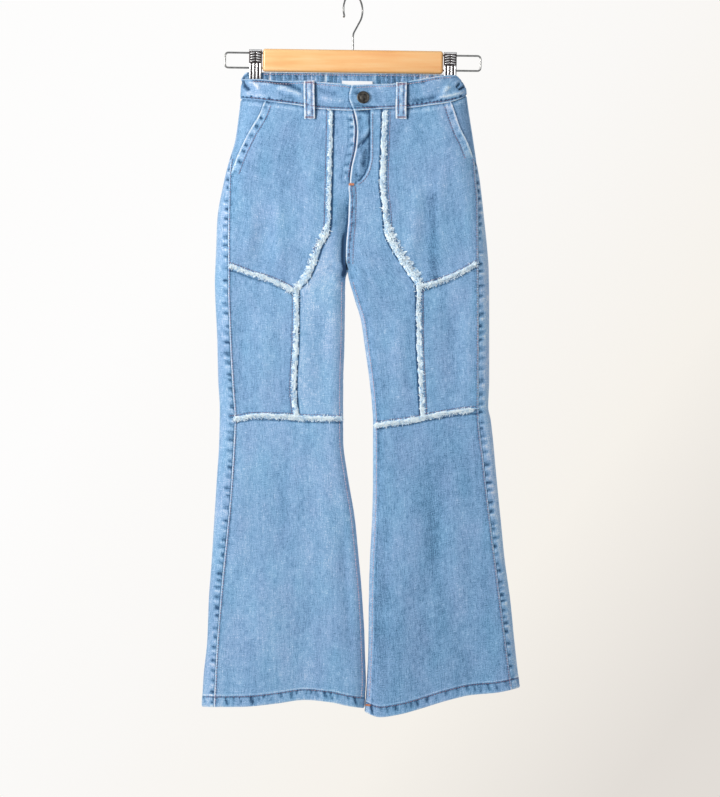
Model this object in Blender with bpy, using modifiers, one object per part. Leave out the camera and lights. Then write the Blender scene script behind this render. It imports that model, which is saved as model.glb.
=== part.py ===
# Flared jeans with frayed panel seams, hanging by their back waistband from a clip hanger.
#
# Front is -Y, the wearer's left is +X and up is +Z. The origin is the inside top of the hanger's hook,
# where a rail or a nail holds it. Lengths are in millimetres and MM turns them into metres. Right and
# left are the wearer's. The jeans are two half garments, each a flattened tube with an outer fold and,
# below the crotch, an inner fold. Panels are patches of that form between seam lines.

import math

import bmesh
import bpy
import numpy as np
from mathutils import Matrix, Vector

MM = 0.001

WALL = 1.3  # one layer of denim
BAND_WALL = 2.2  # the waistband is two layers
LOOP_WALL = 1.6
FRAY_WALL = 1.4  # reach of the frayed threads off the cloth
LIFT = 0.5  # clearance of what lies on a panel
GAP = 0.3  # clearance between pieces at a seam
FOLD_GAP = 0.7  # the same where the seam runs along a fold, measured on the curved face
LEVEL_GAP = 0.5  # the same where the seam runs across the garment
FRAY_LIFT = 0.7
HEM_INSET = 2.9  # the turned-up hem's outer face, in from the leg's

CROTCH_Z = -343.5
CROTCH_RISE = 70  # height over which the crotch rounds up into the front and back seams
HEM_DEPTH = 14

BUTTON_AT = (13, -130)  # x and z on the waistband
BUTTON_RADIUS = 7.8
LOOP_WIDTH = 14
LOOP_RISE = 2.2  # how far a belt loop stands off between its two bartacks

BAR_HALF = 113  # wooden bar, half its length
BAR_TOP = -69.3
BAR_BOTTOM = -98
BAR_THICK = 12
HANGER_TILT = math.radians(0.8)  # the wearer's left end hangs lower
CLIP_AT = 122  # middle of each clip along the bar
CLIP_WIDTH = 16
CLIP_TOP = -70.6
RAIL_RADIUS = 1.2
RAIL_LEVELS = (-74.6, -93.4)
RAIL_REACH = 161.3
RAIL_CORNER = 4
BORE_RADIUS = 1.6
HOOK_RADIUS = 20.2  # to the middle of the wire
HOOK_WIRE = 1.2
HOOK_SWIVEL = math.radians(54)  # the hook's own plane, turned from the bar
HOOK_KINK_Z = -49.5


def table(columns, *rows):
    """One array of numbers for each named column."""
    return dict(zip(columns.split(), np.array(rows, float).T))


# Edges of each half garment seen from the front: the outer fold, and the inner fold or centre seam.
EDGES = {
    "right": table(
        "z outer inner",
        (-96, -138, 0),
        (-112, -140, 0),
        (-133, -141, 0),
        (-158, -143.8, 0),
        (-183, -147.5, 0),
        (-208, -155, -0.5),
        (-233, -161.3, -1),
        (-283, -170, -3),
        (-317, -171.3, -5.9),
        (-345, -172.5, -6.5),
        (-358, -173, -9.5),
        (-433, -170, -10.6),
        (-483, -168.8, -12.1),
        (-520, -166.8, -12.3),
        (-558, -167.5, -12.1),
        (-608, -170.6, -5.6),
        (-658, -173.8, 2.5),
        (-708, -176.9, 7.5),
        (-758, -180.6, 11.9),
        (-808, -182.5, 14.4),
        (-858, -187.5, 16),
        (-905, -189.5, 12.5),
    ),
    "left": table(
        "z outer inner",
        (-96, 130, 0),
        (-108, 137.5, 0),
        (-116, 141, 0),
        (-133, 143, 0),
        (-183, 150.6, 0),
        (-208, 154.4, -0.5),
        (-233, 158.8, -1),
        (-283, 164.4, -3),
        (-317, 168, -5.9),
        (-345, 170, -6.5),
        (-383, 170.6, 2.5),
        (-408, 170.6, 10),
        (-433, 170.6, 13.8),
        (-483, 170.6, 20.6),
        (-517, 169.4, 24),
        (-533, 172.5, 25),
        (-608, 180, 25),
        (-658, 185, 23.8),
        (-708, 190, 21.3),
        (-758, 196.9, 20),
        (-808, 201.9, 19.4),
        (-858, 207.5, 17.4),
        (-905, 213, 14.6),
    ),
}

# Depth of the flattened tube: its middle, how far the front and back crowns stand from it, and how
# far in from each fold they are reached.
SECTIONS = table(
    "z mid front back round_front round_back round_inner",
    (-96, -3, 17, 4, 60, 8, 20),
    (-115, -3, 19, 4, 60, 8, 20),
    (-150, -4, 20, 8, 50, 16, 20),
    (-200, -4, 20, 13, 34, 24, 20),
    (-260, -5, 19, 17, 26, 26, 20),
    (-330, -5, 17, 16, 22, 24, 20),
    (-400, -5, 14, 13, 20, 20, 18),
    (-530, -5, 11, 11, 16, 16, 16),
    (-700, -5, 12, 12, 16, 16, 16),
    (-905, -5, 15, 15, 20, 20, 18),
)

# Soft folds that run down the cloth: where each starts and ends, its width, and how far it stands
# out. A trough is negative.
FOLDS = {
    "front": table(
        "x_top z_top x_low z_low width rise",
        (-108, -285, -118, -352, 14, -2.4),
        (97, -240, 92, -360, 15, -2.6),
        (-60, -690, -60, -900, 26, -3.2),
        (-110, -640, -118, -900, 24, 2.2),
        (60, -620, 56, -900, 24, 2.6),
        (140, -660, 152, -900, 24, -2.8),
        (-10, -255, -12, -342, 7, -4.5),
    ),
    "back": table(
        "x_top z_top x_low z_low width rise",
        (-70, -150, -62, -300, 22, -2.2),
        (74, -150, 66, -290, 22, -2.4),
        (-96, -600, -104, -900, 28, -3.0),
        (112, -640, 122, -900, 28, -2.6),
    ),
}

# Seam lines. A line that runs down the garment gives x for each z, and one across it z for each x.
OUTSEAM = {
    "right": table(
        "z x",
        (-96, -136),
        (-133, -138.6),
        (-183, -145.2),
        (-215, -153.6),
        (-240, -155),
        (-305, -156),
        (-365, -156),
        (-425, -154.3),
        (-495, -150.4),
        (-532, -147.9),
        (-572, -149.8),
        (-623, -153),
        (-758, -165.9),
        (-833, -171.3),
        (-905, -174.5),
    ),
    "left": table(
        "z x",
        (-96, 128),
        (-116, 138.6),
        (-133, 140.6),
        (-183, 148.2),
        (-205, 151.4),
        (-232, 153.4),
        (-258, 156),
        (-334, 156.5),
        (-430, 156.9),
        (-520, 156.9),
        (-537, 157.5),
        (-578, 162.5),
        (-632, 168.4),
        (-758, 184.1),
        (-852, 196.3),
        (-905, 203),
    ),
}
CENTRE_FRONT = table(  # the edge of the fly, then the rise seam
    "z x",
    (-112, -1.3),
    (-130, -5),
    (-148, 1.3),
    (-170, 5),
    (-189, 3.8),
    (-220, -2.5),
    (-236, -4),
    (-255, -2.3),
    (-281, -2.9),
    (-317, -5.9),
    (-345, -6.5),
)
HIP_SEAM = {
    "right": table(
        "z x",
        (-130, -27.5),
        (-195, -29.1),
        (-258, -30.4),
        (-282, -31),
        (-300, -33.4),
        (-314, -41),
        (-335, -48.4),
        (-358, -59.1),
        (-370, -71.3),
    ),
    "left": table(
        "z x",
        (-130, 40.6),
        (-198, 38.6),
        (-235, 37.4),
        (-274, 41.1),
        (-297, 43),
        (-319, 52.5),
        (-340, 66),
        (-365, 83),
    ),
}
THIGH_SEAM = {
    "right": table("z x", (-370, -71.3), (-433, -71.8), (-493, -74.5), (-530, -71.3)),
    "left": table("z x", (-365, 83), (-430, 83.3), (-468, 85), (-530, 88)),
}
POCKET_EDGE = {
    "right": table("z x", (-130, -109), (-150, -116.5), (-173, -130), (-202, -143.8), (-224, -152)),
    "left": table("z x", (-130, 121), (-150, 127.5), (-168, 133.8), (-187, 143), (-204, 149.4)),
}
POCKET_ROWS = {"right": 4, "left": 3}  # rows of facets from the waist seam down to the pocket's end
# The hip line is the frayed side seam, and its level where it would cross the centre panels.
HIP_LINE = {
    "right": table(
        "x z",
        (-175, -337),
        (-155, -339.3),
        (-125, -350),
        (-107, -355),
        (-88, -363),
        (-71.3, -370),
        (-40, -370),
        (0, -370),
    ),
    "left": table(
        "x z",
        (0, -370),
        (45, -368),
        (83, -365),
        (117, -355.5),
        (137, -346),
        (155, -336.5),
        (175, -333),
    ),
}
KNEE_LINE = {
    "right": table(
        "x z", (-175, -533), (-147, -530.5), (-121, -526.8), (-85, -527.6), (-64, -529.3), (0, -531)
    ),
    "left": table(
        "x z", (20, -540), (50, -535.5), (72, -532.5), (99, -526.8), (155, -519.3), (175, -519)
    ),
}
HEM_LINE = {
    "right": table(
        "x z",
        (-190, -891.8),
        (-140, -891.4),
        (-97, -887.5),
        (-60, -883),
        (-30, -885.5),
        (-6, -890.5),
        (17, -894),
    ),
    "left": table(
        "x z",
        (13, -898),
        (34, -904.3),
        (57, -901),
        (87, -893),
        (117, -883.8),
        (148, -876.8),
        (178, -874),
        (212, -867),
    ),
}
FRONT_WAIST = {
    "top": table(
        "x z",
        (-141, -106.1),
        (-115, -106.8),
        (-90, -109.3),
        (-61, -108.6),
        (-39, -110.5),
        (-14, -112.4),
        (-1, -114.3),
        (27, -113),
        (50, -112.4),
        (66, -109.8),
        (90, -106),
        (111, -102.1),
        (128, -101),
        (136, -108),
        (141, -117),
    ),
    "bottom": table(
        "x z",
        (-141, -130.9),
        (-102, -135.5),
        (-64, -140.5),
        (-44, -144.3),
        (0, -146.5),
        (35, -144.3),
        (70, -143),
        (99, -139.3),
        (117, -136.8),
        (136, -130.5),
        (143, -125),
    ),
}
BACK_WAIST = {
    "top": table(
        "x z",
        (-141, -106.1),
        (-133, -97.2),
        (0, -98.5),
        (121, -100.2),
        (130, -102),
        (141, -117),
    ),
    "bottom": table("x z", (-141, -130.9), (-100, -134), (0, -136), (100, -134.5), (143, -125)),
}

# Reach of the frayed strips: to each side of the upright seams, and over and under the level ones.
FRAY_HALF_NARROW = 3.2
FRAY_HALF_WIDE = 5.6
FRAY_HALF_THIGH = 4.0
FRAY_OVER = 1.0
FRAY_UNDER_SIDE = 7.5
FRAY_UNDER_KNEE = 8.0

INSEAM_REACH = table(  # how far in from the inner fold the inseam lies, on the front
    "z right left",
    (-905, 2.5, 5),
    (-600, 2, 4),
    (-400, 1.6, 2.6),
    (-366, 1, 1),
    (-344, 0.15, 0.15),
)
BELT_LOOPS = {  # face, middle, top and bottom
    "front_right": ("front", -54.5, -109, -156.8),
    "front_left": ("front", 60.4, -110.7, -156.8),
    "back_right": ("back", -78, -106, -150),
    "back_center": ("back", -2, -106, -150),
    "back_left": ("back", 78, -106, -150),
}
LOOP_ROWS = 6
FLY_BACKING = {  # left, right, depth behind the front, wall and slot
    "fly_zip": (-4, 12, WALL + LIFT, 1.0, "zip"),
    "fly_shield": (-12, 24, WALL + 1.0 + 2 * LIFT, WALL, "denim"),
}
FLY_BOTTOM = -238
BAND_CORNER = 5  # reach of the front bands round the side onto the back
BACK_BAND_INSET = 7  # the back band's ends, in from the outer fold
HEM_SIDES = 30
LABEL_LEFT = -13.8
LABEL_WIDTH = 38.2
LABEL_BOTTOM = -127
LABEL_HEIGHT = 19
LABEL_WALL = 0.8
CLIP_ROWS = {  # a jaw's inner face: level, and distance from the middle plane; the last two rows grip
    "front": ((CLIP_TOP, 5.6), (-76, 5.0), (-84, 3.9), (-94, 3.7), (-101, 2.6)),
    "back": ((CLIP_TOP, 5.6), (-76, 5.0), (-84, 3.9), (-94, 3.7), (-101, 2.2)),
}
CLIP_GRIP = {"front": BAND_WALL - 1.0 + GAP, "back": 1.0 + GAP}
CLIP_TIP = -113.5
CLIP_LIP = 3  # height of the gripping lip, which opens by half a millimetre at the tip
CLIP_LIP_FLARE = 0.5
CLIP_PLATE = 1.2
CARRIER_NARROWER = 3
CARRIER_DEPTH = 6
CARRIER_DROP = 2.6
HOOK_SOCKET = 12  # how far the stem goes down into the bar
HOOK_KINK_REACH = 4.0
HOOK_END_ANGLE = 205
HOOK_STEPS = 22

SIDES = {"right": -1, "left": 1}
BANDS = {"shin": 9, "thigh": 5, "hip": 9}  # rows of facets between hem, knee, hip line and waist

MATERIALS = {  # colour, roughness, metallic
    "denim": ((0.30, 0.47, 0.72), 0.9, 0.0),
    "fray": ((0.75, 0.84, 0.92), 1.0, 0.0),
    "label": ((0.90, 0.90, 0.90), 0.7, 0.0),
    "zip": ((0.20, 0.28, 0.38), 0.8, 0.0),
    "brass": ((0.20, 0.15, 0.09), 0.4, 1.0),
    "wood": ((0.90, 0.66, 0.38), 0.5, 0.0),
    "chrome": ((0.55, 0.55, 0.56), 0.25, 1.0),
}


def curve(rows, key, value):
    """A smooth line through two columns of a table that never swings past a row."""
    order = np.argsort(rows[key])
    knots = rows[key][order]
    values = rows[value][order]
    step = np.diff(knots)
    slope = np.diff(values) / step
    product = slope[1:] * slope[:-1]
    total = slope[1:] + slope[:-1]
    turning = product <= 0
    inner = np.where(turning, 0, 2 * product / np.where(turning, 1, total))
    tangent = np.concatenate([[slope[0]], inner, [slope[-1]]])

    def at(where):
        where = np.clip(where, knots[0], knots[-1])
        i = np.clip(np.searchsorted(knots, where, side="right") - 1, 0, len(step) - 1)
        p = (where - knots[i]) / step[i]
        ends = values[i] * (1 + 2 * p) * (1 - p) ** 2 + values[i + 1] * p * p * (3 - 2 * p)
        return ends + step[i] * p * (1 - p) * ((1 - p) * tangent[i] - p * tangent[i + 1])

    return at


def moved(line, by):
    """The same line, moved sideways by a distance square to its slope."""

    def at(where):
        slope = line(where + 0.5) - line(where - 0.5)
        return line(where) + by * np.sqrt(1 + slope**2)

    return at


def lines(rows_by_side, key, value):
    return {side: curve(rows, key, value) for side, rows in rows_by_side.items()}


outer_edge = lines(EDGES, "z", "outer")
inner_edge = lines(EDGES, "z", "inner")
section = {name: curve(SECTIONS, "z", name) for name in SECTIONS if name != "z"}
outseam = lines(OUTSEAM, "z", "x")
centre_front = curve(CENTRE_FRONT, "z", "x")
hip_seam = lines(HIP_SEAM, "z", "x")
thigh_seam = lines(THIGH_SEAM, "z", "x")
pocket_edge = lines(POCKET_EDGE, "z", "x")
hip_line = lines(HIP_LINE, "x", "z")
knee_line = lines(KNEE_LINE, "x", "z")
hem_line = lines(HEM_LINE, "x", "z")
front_waist = lines(FRONT_WAIST, "x", "z")
back_waist = lines(BACK_WAIST, "x", "z")


def rounded(distance, radius):
    """0 at a fold, rising as a quarter ellipse to 1 at the radius."""
    reach = np.clip(distance / radius, 0, 1)
    return np.sqrt(1 - (1 - reach) ** 2)


def fold_rise(face, x, z):
    """How far the soft folds lift a face."""
    rise = np.zeros_like(x)
    rows = FOLDS[face]
    for row in zip(*rows.values()):
        x_top, z_top, x_low, z_low, width, height = row
        along = (z_top - z) / (z_top - z_low)
        middle = x_top + (x_low - x_top) * along
        fade = np.clip(1 - np.abs(2 * along - 1) ** 4, 0, 1)
        if z_low <= -900:
            fade = np.clip(along * 2.5, 0, 1) ** 2
        rise += height * fade * np.exp(-(((x - middle) / width) ** 2))
    return rise


def cloth_y(side, face, x, z):
    """Y of the outer surface on the front or the back of one half garment."""
    sign = SIDES[side]
    crotch = rounded(z - CROTCH_Z, CROTCH_RISE)
    inner = rounded(sign * (x - inner_edge[side](z)), section["round_inner"](z))
    full = rounded(sign * (outer_edge[side](z) - x), section[f"round_{face}"](z))
    full = full * (crotch + (1 - crotch) * inner)
    reach = section[face](z) * full + fold_rise(face, x, z) * full
    return section["mid"](z) + (reach if face == "back" else -reach)


def material(slot):
    found = bpy.data.materials.get(slot)
    if found:
        return found
    colour, roughness, metallic = MATERIALS[slot]
    found = bpy.data.materials.new(slot)
    found.use_nodes = True
    shader = found.node_tree.nodes["Principled BSDF"]
    shader.inputs["Base Color"].default_value = (*colour, 1)
    shader.inputs["Roughness"].default_value = roughness
    shader.inputs["Metallic"].default_value = metallic
    found.diffuse_color = (*colour, 1)
    return found


def finish(shape, name, slot):
    """A bmesh in millimetres made an object in metres."""
    bmesh.ops.scale(shape, vec=(MM, MM, MM), verts=shape.verts)
    mesh = bpy.data.meshes.new(name)
    shape.to_mesh(mesh)
    shape.free()
    mesh.materials.append(material(slot))
    made = bpy.data.objects.new(name, mesh)
    parts.objects.link(made)
    return made


def thicken(made, wall):
    """Gives an open surface its wall, inwards from its outer face."""
    solid = made.modifiers.new("wall", "SOLIDIFY")
    solid.thickness = wall * MM
    solid.offset = -1
    solid.use_even_offset = True
    solid.use_quality_normals = True


def place(shape, verts, s, t, put, lift, flipped):
    """Moves a sheet's points where put(s, t) says, and then along their normals."""
    points = np.stack(put(s, t), axis=1)
    for vert, point in zip(verts, points):
        vert.co = point
    if flipped:
        bmesh.ops.reverse_faces(shape, faces=shape.faces)
    shape.normal_update()
    for vert in verts:
        vert.co = vert.co + vert.normal * lift


def sheet(name, columns, rows, put, wall=WALL, lift=0.0, slot="denim", flipped=False):
    """A patch of cloth: a flat grid placed by put(s, t), with s across and t up, both 0 to 1."""
    shape = bmesh.new()
    bmesh.ops.create_grid(shape, x_segments=columns, y_segments=rows, size=1)
    verts = list(shape.verts)
    flat = np.array([vert.co for vert in verts])
    place(shape, verts, (flat[:, 0] + 1) / 2, (flat[:, 1] + 1) / 2, put, lift, flipped)
    made = finish(shape, name, slot)
    thicken(made, wall)
    return made


def eased(s, start=1.0, end=1.0):
    """Spaces points closer together at the start or the end, where a fold turns sharply."""
    s = s**start
    return 1 - (1 - s) ** end


def seam_in(side, z):
    return curve(INSEAM_REACH, "z", side)(z)


def front_inner(side):
    """The front panels' inner edge: fly edge, rise seam and inseam."""

    def at(z):
        above = centre_front(z)
        below = inner_edge[side](z)
        return np.where(z > CROTCH_Z, above, below) + SIDES[side] * seam_in(side, z)

    return at


def levels(side, face, names):
    """z(x, t) through whole bands of facets, so that neighbouring panels' rows meet."""
    waist = (front_waist if face == "front" else back_waist)["bottom"]
    ends = {
        "shin": (hem_line[side], knee_line[side]),
        "thigh": (knee_line[side], hip_line[side]),
        "hip": (hip_line[side], waist),
    }
    total = sum(BANDS[name] for name in names)

    def at(x, t):
        row = t * total
        z = None
        start = 0
        for name in names:
            low, high = ends[name]
            part = (row - start) / BANDS[name]
            here = low(x) + np.clip(part, 0, 1) * (high(x) - low(x))
            z = here if z is None else np.where(part > 0, here, z)
            start += BANDS[name]
        inset = LEVEL_GAP / 2 * (1 - 2 * t) * (np.abs(2 * t - 1) > 0.999)
        return z + inset

    return at, total


def settle(level, left, right, s, t):
    """The point s across and t up a patch between two seams, left(z, t) and right(z, t)."""
    x = np.zeros_like(s)
    z = level(x, t)
    for _ in range(40):
        x = 0.5 * x + 0.5 * (left(z, t) + s * (right(z, t) - left(z, t)))
        z = 0.5 * z + 0.5 * level(x, t)
    return x, z


def front_panel(name, side, left, right, names, columns, start=1.0, end=1.0):
    """A front patch between two seams that run down, filling whole bands."""
    level, rows = levels(side, "front", names)

    def put(s, t):
        x, z = settle(level, left, right, eased(s, start, end), t)
        return x, cloth_y(side, "front", x, z), z

    return sheet(name, columns, rows, put)


def by_height(line):
    return lambda z, t: line(z)


def ordered(side, outer, inner):
    """Two seams as left and right in x."""
    return (outer, inner) if side == "right" else (inner, outer)


def pocket_line(side):
    """The hip panel's outer edge: the outseam up to the pocket's end, then the slanted opening."""
    level, rows = levels(side, "front", ("hip",))
    switch = 1 - POCKET_ROWS[side] / rows
    steps = np.linspace(0, 1, rows + 1)
    x = np.full(rows + 1, 140.0 * SIDES[side])
    for _ in range(40):
        z = level(x, steps)
        x = 0.5 * x + 0.5 * np.where(steps > switch + 0.01, pocket_edge[side](z), outseam[side](z))
    return lambda t: np.interp(t, steps, x), switch


def make_front(side):
    """Pocket facing, hip, centre, thigh and shin panels of one side."""
    sign = SIDES[side]
    meeting = HIP_SEAM[side]["z"].min()
    slant, switch = pocket_line(side)

    def inward(line, by):
        """A line moved towards the centre, or away from it where by is negative."""
        return by_height(moved(line, -sign * by))

    def centre_outer(z):
        return np.where(z > meeting, hip_seam[side](z), thigh_seam[side](z))

    def panel(node, outer, inner, names, columns, folded=False):
        left, right = ordered(side, outer, inner)
        start, end = ordered(side, 1.0, 1.7 if folded else 1.0)
        front_panel(f"{node}_{side}", side, left, right, names, columns, start, end)

    def slanted(by):
        return lambda z, t: slant(t) - sign * by

    side_seam = inward(outseam[side], FOLD_GAP / 2)
    hip_inner = inward(hip_seam[side], -GAP / 2)
    panel("hip_panel", slanted(FOLD_GAP / 2), hip_inner, ("hip",), 7)
    panel("thigh_panel", side_seam, inward(thigh_seam[side], -GAP / 2), ("thigh",), 7)
    inner = by_height(front_inner(side))
    panel("centre_panel", inward(centre_outer, GAP / 2), inner, ("thigh", "hip"), 7, True)
    panel("shin_panel", side_seam, inner, ("shin",), 14, True)

    level, rows = levels(side, "front", ("hip",))
    left, right = ordered(side, side_seam, slanted(-FOLD_GAP / 2))
    steps = np.concatenate([[switch + 0.3 / rows], np.linspace(switch, 1, POCKET_ROWS[side] + 1)[1:]])

    def facing(s, t):
        t = np.interp(t, np.linspace(0, 1, len(steps)), steps)
        x, z = settle(level, left, right, s, t)
        return x, cloth_y(side, "front", x, z), z

    sheet(f"pocket_facing_{side}", 3, POCKET_ROWS[side], facing)


# Columns round a back panel: the outer fold as an angle from the outseam (-1) through the fold (0)
# to the back (1), fractions across the flat back, and the inner fold from the back (-1) to the inseam.
OUTER_TURN = (-1.0, -0.85, -0.45, 0.0, 0.25, 0.55, 1.0)
FLAT_BACK = (0.17, 0.34, 0.5, 0.66, 0.83)
INNER_TURN = (-1.0, -0.55, -0.2, 0.5, 1.0)


def wrapped_x(side, z, column):
    """x and face of a back panel's column at a height."""
    sign = SIDES[side]
    outer = outer_edge[side](z)
    inner = inner_edge[side](z)
    outer_count = len(OUTER_TURN)
    flat_count = len(FLAT_BACK)
    if column < outer_count:
        turn = OUTER_TURN[column]
        if turn <= 0:
            inset = np.abs(moved(outseam[side], sign * FOLD_GAP / 2)(z) - outer)
            radius = np.maximum(section["round_front"](z), inset)
            angle = turn * np.arccos(1 - inset / radius)
            return outer - sign * radius * (1 - np.cos(angle)), "front"
        return outer - sign * section["round_back"](z) * (1 - np.cos(turn * math.pi / 2)), "back"
    if column < outer_count + flat_count:
        start = outer - sign * section["round_back"](z)
        end = inner + sign * section["round_inner"](z)
        return start + FLAT_BACK[column - outer_count] * (end - start), "back"
    turn = INNER_TURN[column - outer_count - flat_count]
    radius = section["round_inner"](z)
    if turn < 0:
        return inner + sign * radius * (1 - np.cos(turn * math.pi / 2)), "back"
    seam = np.arccos(1 - np.clip(seam_in(side, z) / radius, 0, 1)) - FOLD_GAP / section["front"](z)
    angle = seam if turn == 1 else 0.3 * seam - 0.1
    face = np.where(z > CROTCH_Z, -1, np.where(angle > 0, 1, -1))
    reach = np.where(z > CROTCH_Z, GAP / 2 + 0.7 * (1 - turn), radius * (1 - np.cos(angle)))
    return inner + sign * reach, face


def make_back(side):
    """The back panel, which wraps round the outer fold to the outseam on the front."""
    level, rows = levels(side, "back", ("shin", "thigh", "hip"))
    columns = len(OUTER_TURN) + len(FLAT_BACK) + len(INNER_TURN) - 1

    def put(s, t):
        column = np.rint(s * columns).astype(int)
        x = np.zeros_like(s)
        y = np.zeros_like(s)
        z = np.zeros_like(s)
        for index in range(columns + 1):
            mine = column == index
            here_z = level(np.full(mine.sum(), 80.0 * SIDES[side]), t[mine])
            for _ in range(40):
                here_x, face = wrapped_x(side, here_z, index)
                here_z = 0.5 * here_z + 0.5 * level(here_x, t[mine])
            front = cloth_y(side, "front", here_x, here_z)
            back = cloth_y(side, "back", here_x, here_z)
            if isinstance(face, str):
                face = np.full(mine.sum(), 1 if face == "front" else -1)
            x[mine] = here_x
            y[mine] = np.where(face > 0, front, back)
            z[mine] = here_z
        return x, y, z

    sheet(f"back_panel_{side}", columns, rows, put, flipped=side == "right")


def make_hem(side):
    """The turned-up hem, a ring inside the leg."""
    sign = SIDES[side]
    shape = bmesh.new()
    bmesh.ops.create_cone(shape, segments=HEM_SIDES, radius1=1, radius2=1, depth=2)
    verts = list(shape.verts)
    flat = np.array([vert.co for vert in verts])
    turn = np.arctan2(flat[:, 1], flat[:, 0])
    t = (flat[:, 2] + 1) / 2

    def put(turn, t):
        across = (1 - np.cos(turn) * (1 + 0.12 * np.sin(turn) ** 2)) / 2
        z = np.full_like(turn, -890.0)
        x = np.zeros_like(turn)
        for _ in range(20):
            outer = outer_edge[side](z)
            inner = inner_edge[side](z)
            x = outer + across * (inner - outer)
            z = hem_line[side](x) + 1 + t * (HEM_DEPTH - 1)
        front = cloth_y(side, "front", x, z)
        back = cloth_y(side, "back", x, z)
        return x, np.where(np.sin(turn) * sign < 0, front, back), z

    place(shape, verts, turn, t, put, 0, False)
    bmesh.ops.recalc_face_normals(shape, faces=shape.faces)
    middle = Vector(np.mean([vert.co for vert in verts], axis=0))
    outward = [face.normal.dot(face.calc_center_median() - middle) for face in shape.faces]
    if sum(outward) < 0:
        bmesh.ops.reverse_faces(shape, faces=shape.faces)
    shape.normal_update()
    for vert in verts:
        vert.co = vert.co - vert.normal * HEM_INSET
    thicken(finish(shape, f"hem_{side}", "denim"), WALL)


def make_waistband():
    """Two front bands that turn the side corners, and the elastic back band between them."""

    def front_put(side):
        sign = SIDES[side]

        def put(s, t):
            s = eased(s if sign > 0 else 1 - s, 1.0, 1.6)
            z = np.full_like(s, -120.0)
            for _ in range(40):
                start = centre_front(z) + sign * GAP / 2
                end = outer_edge[side](z) + sign * BAND_CORNER
                run = start + s * (end - start)
                over = np.clip(sign * (run - outer_edge[side](z)), 0, None)
                x = run - sign * 2 * over
                low = np.where(over > 0, back_waist["bottom"](x), front_waist["bottom"](x)) + GAP
                high = np.where(over > 0, back_waist["top"](x), front_waist["top"](x))
                z = 0.5 * z + 0.5 * (low + t * (high - low))
            front = cloth_y(side, "front", x, z)
            back = cloth_y(side, "back", x, z)
            return x, np.where(over > 0, back, front), z

        return put

    for side, sign in SIDES.items():
        sheet(f"waistband_front_{side}", 12, 2, front_put(side), BAND_WALL)

    def back_put(s, t):
        z = np.full_like(s, -118.0)
        for _ in range(40):
            left = outer_edge["right"](z) + BACK_BAND_INSET
            right = outer_edge["left"](z) - BACK_BAND_INSET
            x = left + s * (right - left)
            low = back_waist["bottom"](x) + GAP
            high = back_waist["top"](x)
            z = 0.5 * z + 0.5 * (low + t * (high - low))
        y = np.where(x < 0, cloth_y("right", "back", x, z), cloth_y("left", "back", x, z))
        return x, y, z

    sheet("waistband_back", 16, 2, back_put, BAND_WALL, flipped=True)


def make_belt_loops():
    """Strips bartacked above and below, standing off the band between."""
    for name, (face, middle, top, bottom) in BELT_LOOPS.items():
        side = "right" if middle < 0 else "left"
        sign = 1 if face == "back" else -1

        def put(s, t, face=face, middle=middle, top=top, bottom=bottom, side=side, sign=sign):
            x = middle + (s - 0.5) * LOOP_WIDTH
            z = bottom + t * (top - bottom)
            rise = LIFT + LOOP_WALL + LOOP_RISE * np.clip(4 * t * (1 - t) * 1.3, 0, 1)
            return x, cloth_y(side, face, x, z) + sign * rise, z

        sheet(f"belt_loop_{name}", 2, LOOP_ROWS, put, LOOP_WALL, flipped=face == "back")


def make_fly():
    """The zip tape and the shield behind the fly's edge."""
    for name, (left, right, depth, wall, slot) in FLY_BACKING.items():

        def put(s, t, left=left, right=right):
            x = left + s * (right - left)
            z = FLY_BOTTOM + t * (front_waist["bottom"](x) - 2 - FLY_BOTTOM)
            return x, cloth_y("left", "front", x, z), z

        sheet(name, 3, 6, put, wall, -depth, slot)


def make_label():
    """A plain tab on the inside of the back band, which shows over the front's top edge."""

    def put(s, t):
        x = LABEL_LEFT + s * LABEL_WIDTH
        z = LABEL_BOTTOM + t * LABEL_HEIGHT
        return x, cloth_y("left", "back", x, z) - BAND_WALL - LIFT - LABEL_WALL, z

    sheet("label", 3, 1, put, LABEL_WALL, slot="label")


def fray_strip(name, side, columns, rows, put_xz):
    def put(s, t):
        x, z = put_xz(s, t)
        return x, cloth_y(side, "front", x, z), z

    sheet(name, columns, rows, put, FRAY_WALL, FRAY_LIFT + FRAY_WALL, "fray")


def make_frays(side):
    """Plain solids of the reach of the frayed edges, lying on the panels."""
    sign = SIDES[side]
    hip_end = HIP_SEAM[side]["z"].min()
    meet_x = THIGH_SEAM[side]["x"][0]
    outseam_x = sign * 154.5

    def hip(s, t):
        top = front_waist["bottom"](hip_seam[side](-140.0)) - 1
        z = hip_end + 4 + t * (top - hip_end - 4)
        half = FRAY_HALF_WIDE + (FRAY_HALF_NARROW - FRAY_HALF_WIDE) * np.clip((z + 310) / 15, 0, 1)
        slope = hip_seam[side](z + 1) - hip_seam[side](z - 1)
        return hip_seam[side](z) + (2 * s - 1) * half * np.sqrt(1 + (slope / 2) ** 2), z

    def thigh(s, t):
        low = knee_line[side](thigh_seam[side](-520.0)) + 3
        top = hip_end - 10
        z = low + t * (top - low)
        return thigh_seam[side](z) + (2 * s - 1) * FRAY_HALF_THIGH, z

    def side_run(s, t):
        from_x, to_x = sorted((outseam_x, meet_x + sign * 8))
        x = from_x + s * (to_x - from_x)
        return x, hip_line[side](x) - FRAY_UNDER_SIDE + t * (FRAY_OVER + FRAY_UNDER_SIDE)

    def knee(s, t):
        inner = inner_edge[side](-536.0) + sign * 8
        outer = sign * 147.0
        from_x, to_x = sorted((inner, outer))
        x = from_x + s * (to_x - from_x)
        return x, knee_line[side](x) - FRAY_UNDER_KNEE + t * (FRAY_OVER + FRAY_UNDER_KNEE)

    fray_strip(f"fray_hip_{side}", side, 1, 14, hip)
    fray_strip(f"fray_thigh_{side}", side, 1, 6, thigh)
    fray_strip(f"fray_side_{side}", side, 7, 1, side_run)
    fray_strip(f"fray_knee_{side}", side, 13, 1, knee)


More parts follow.
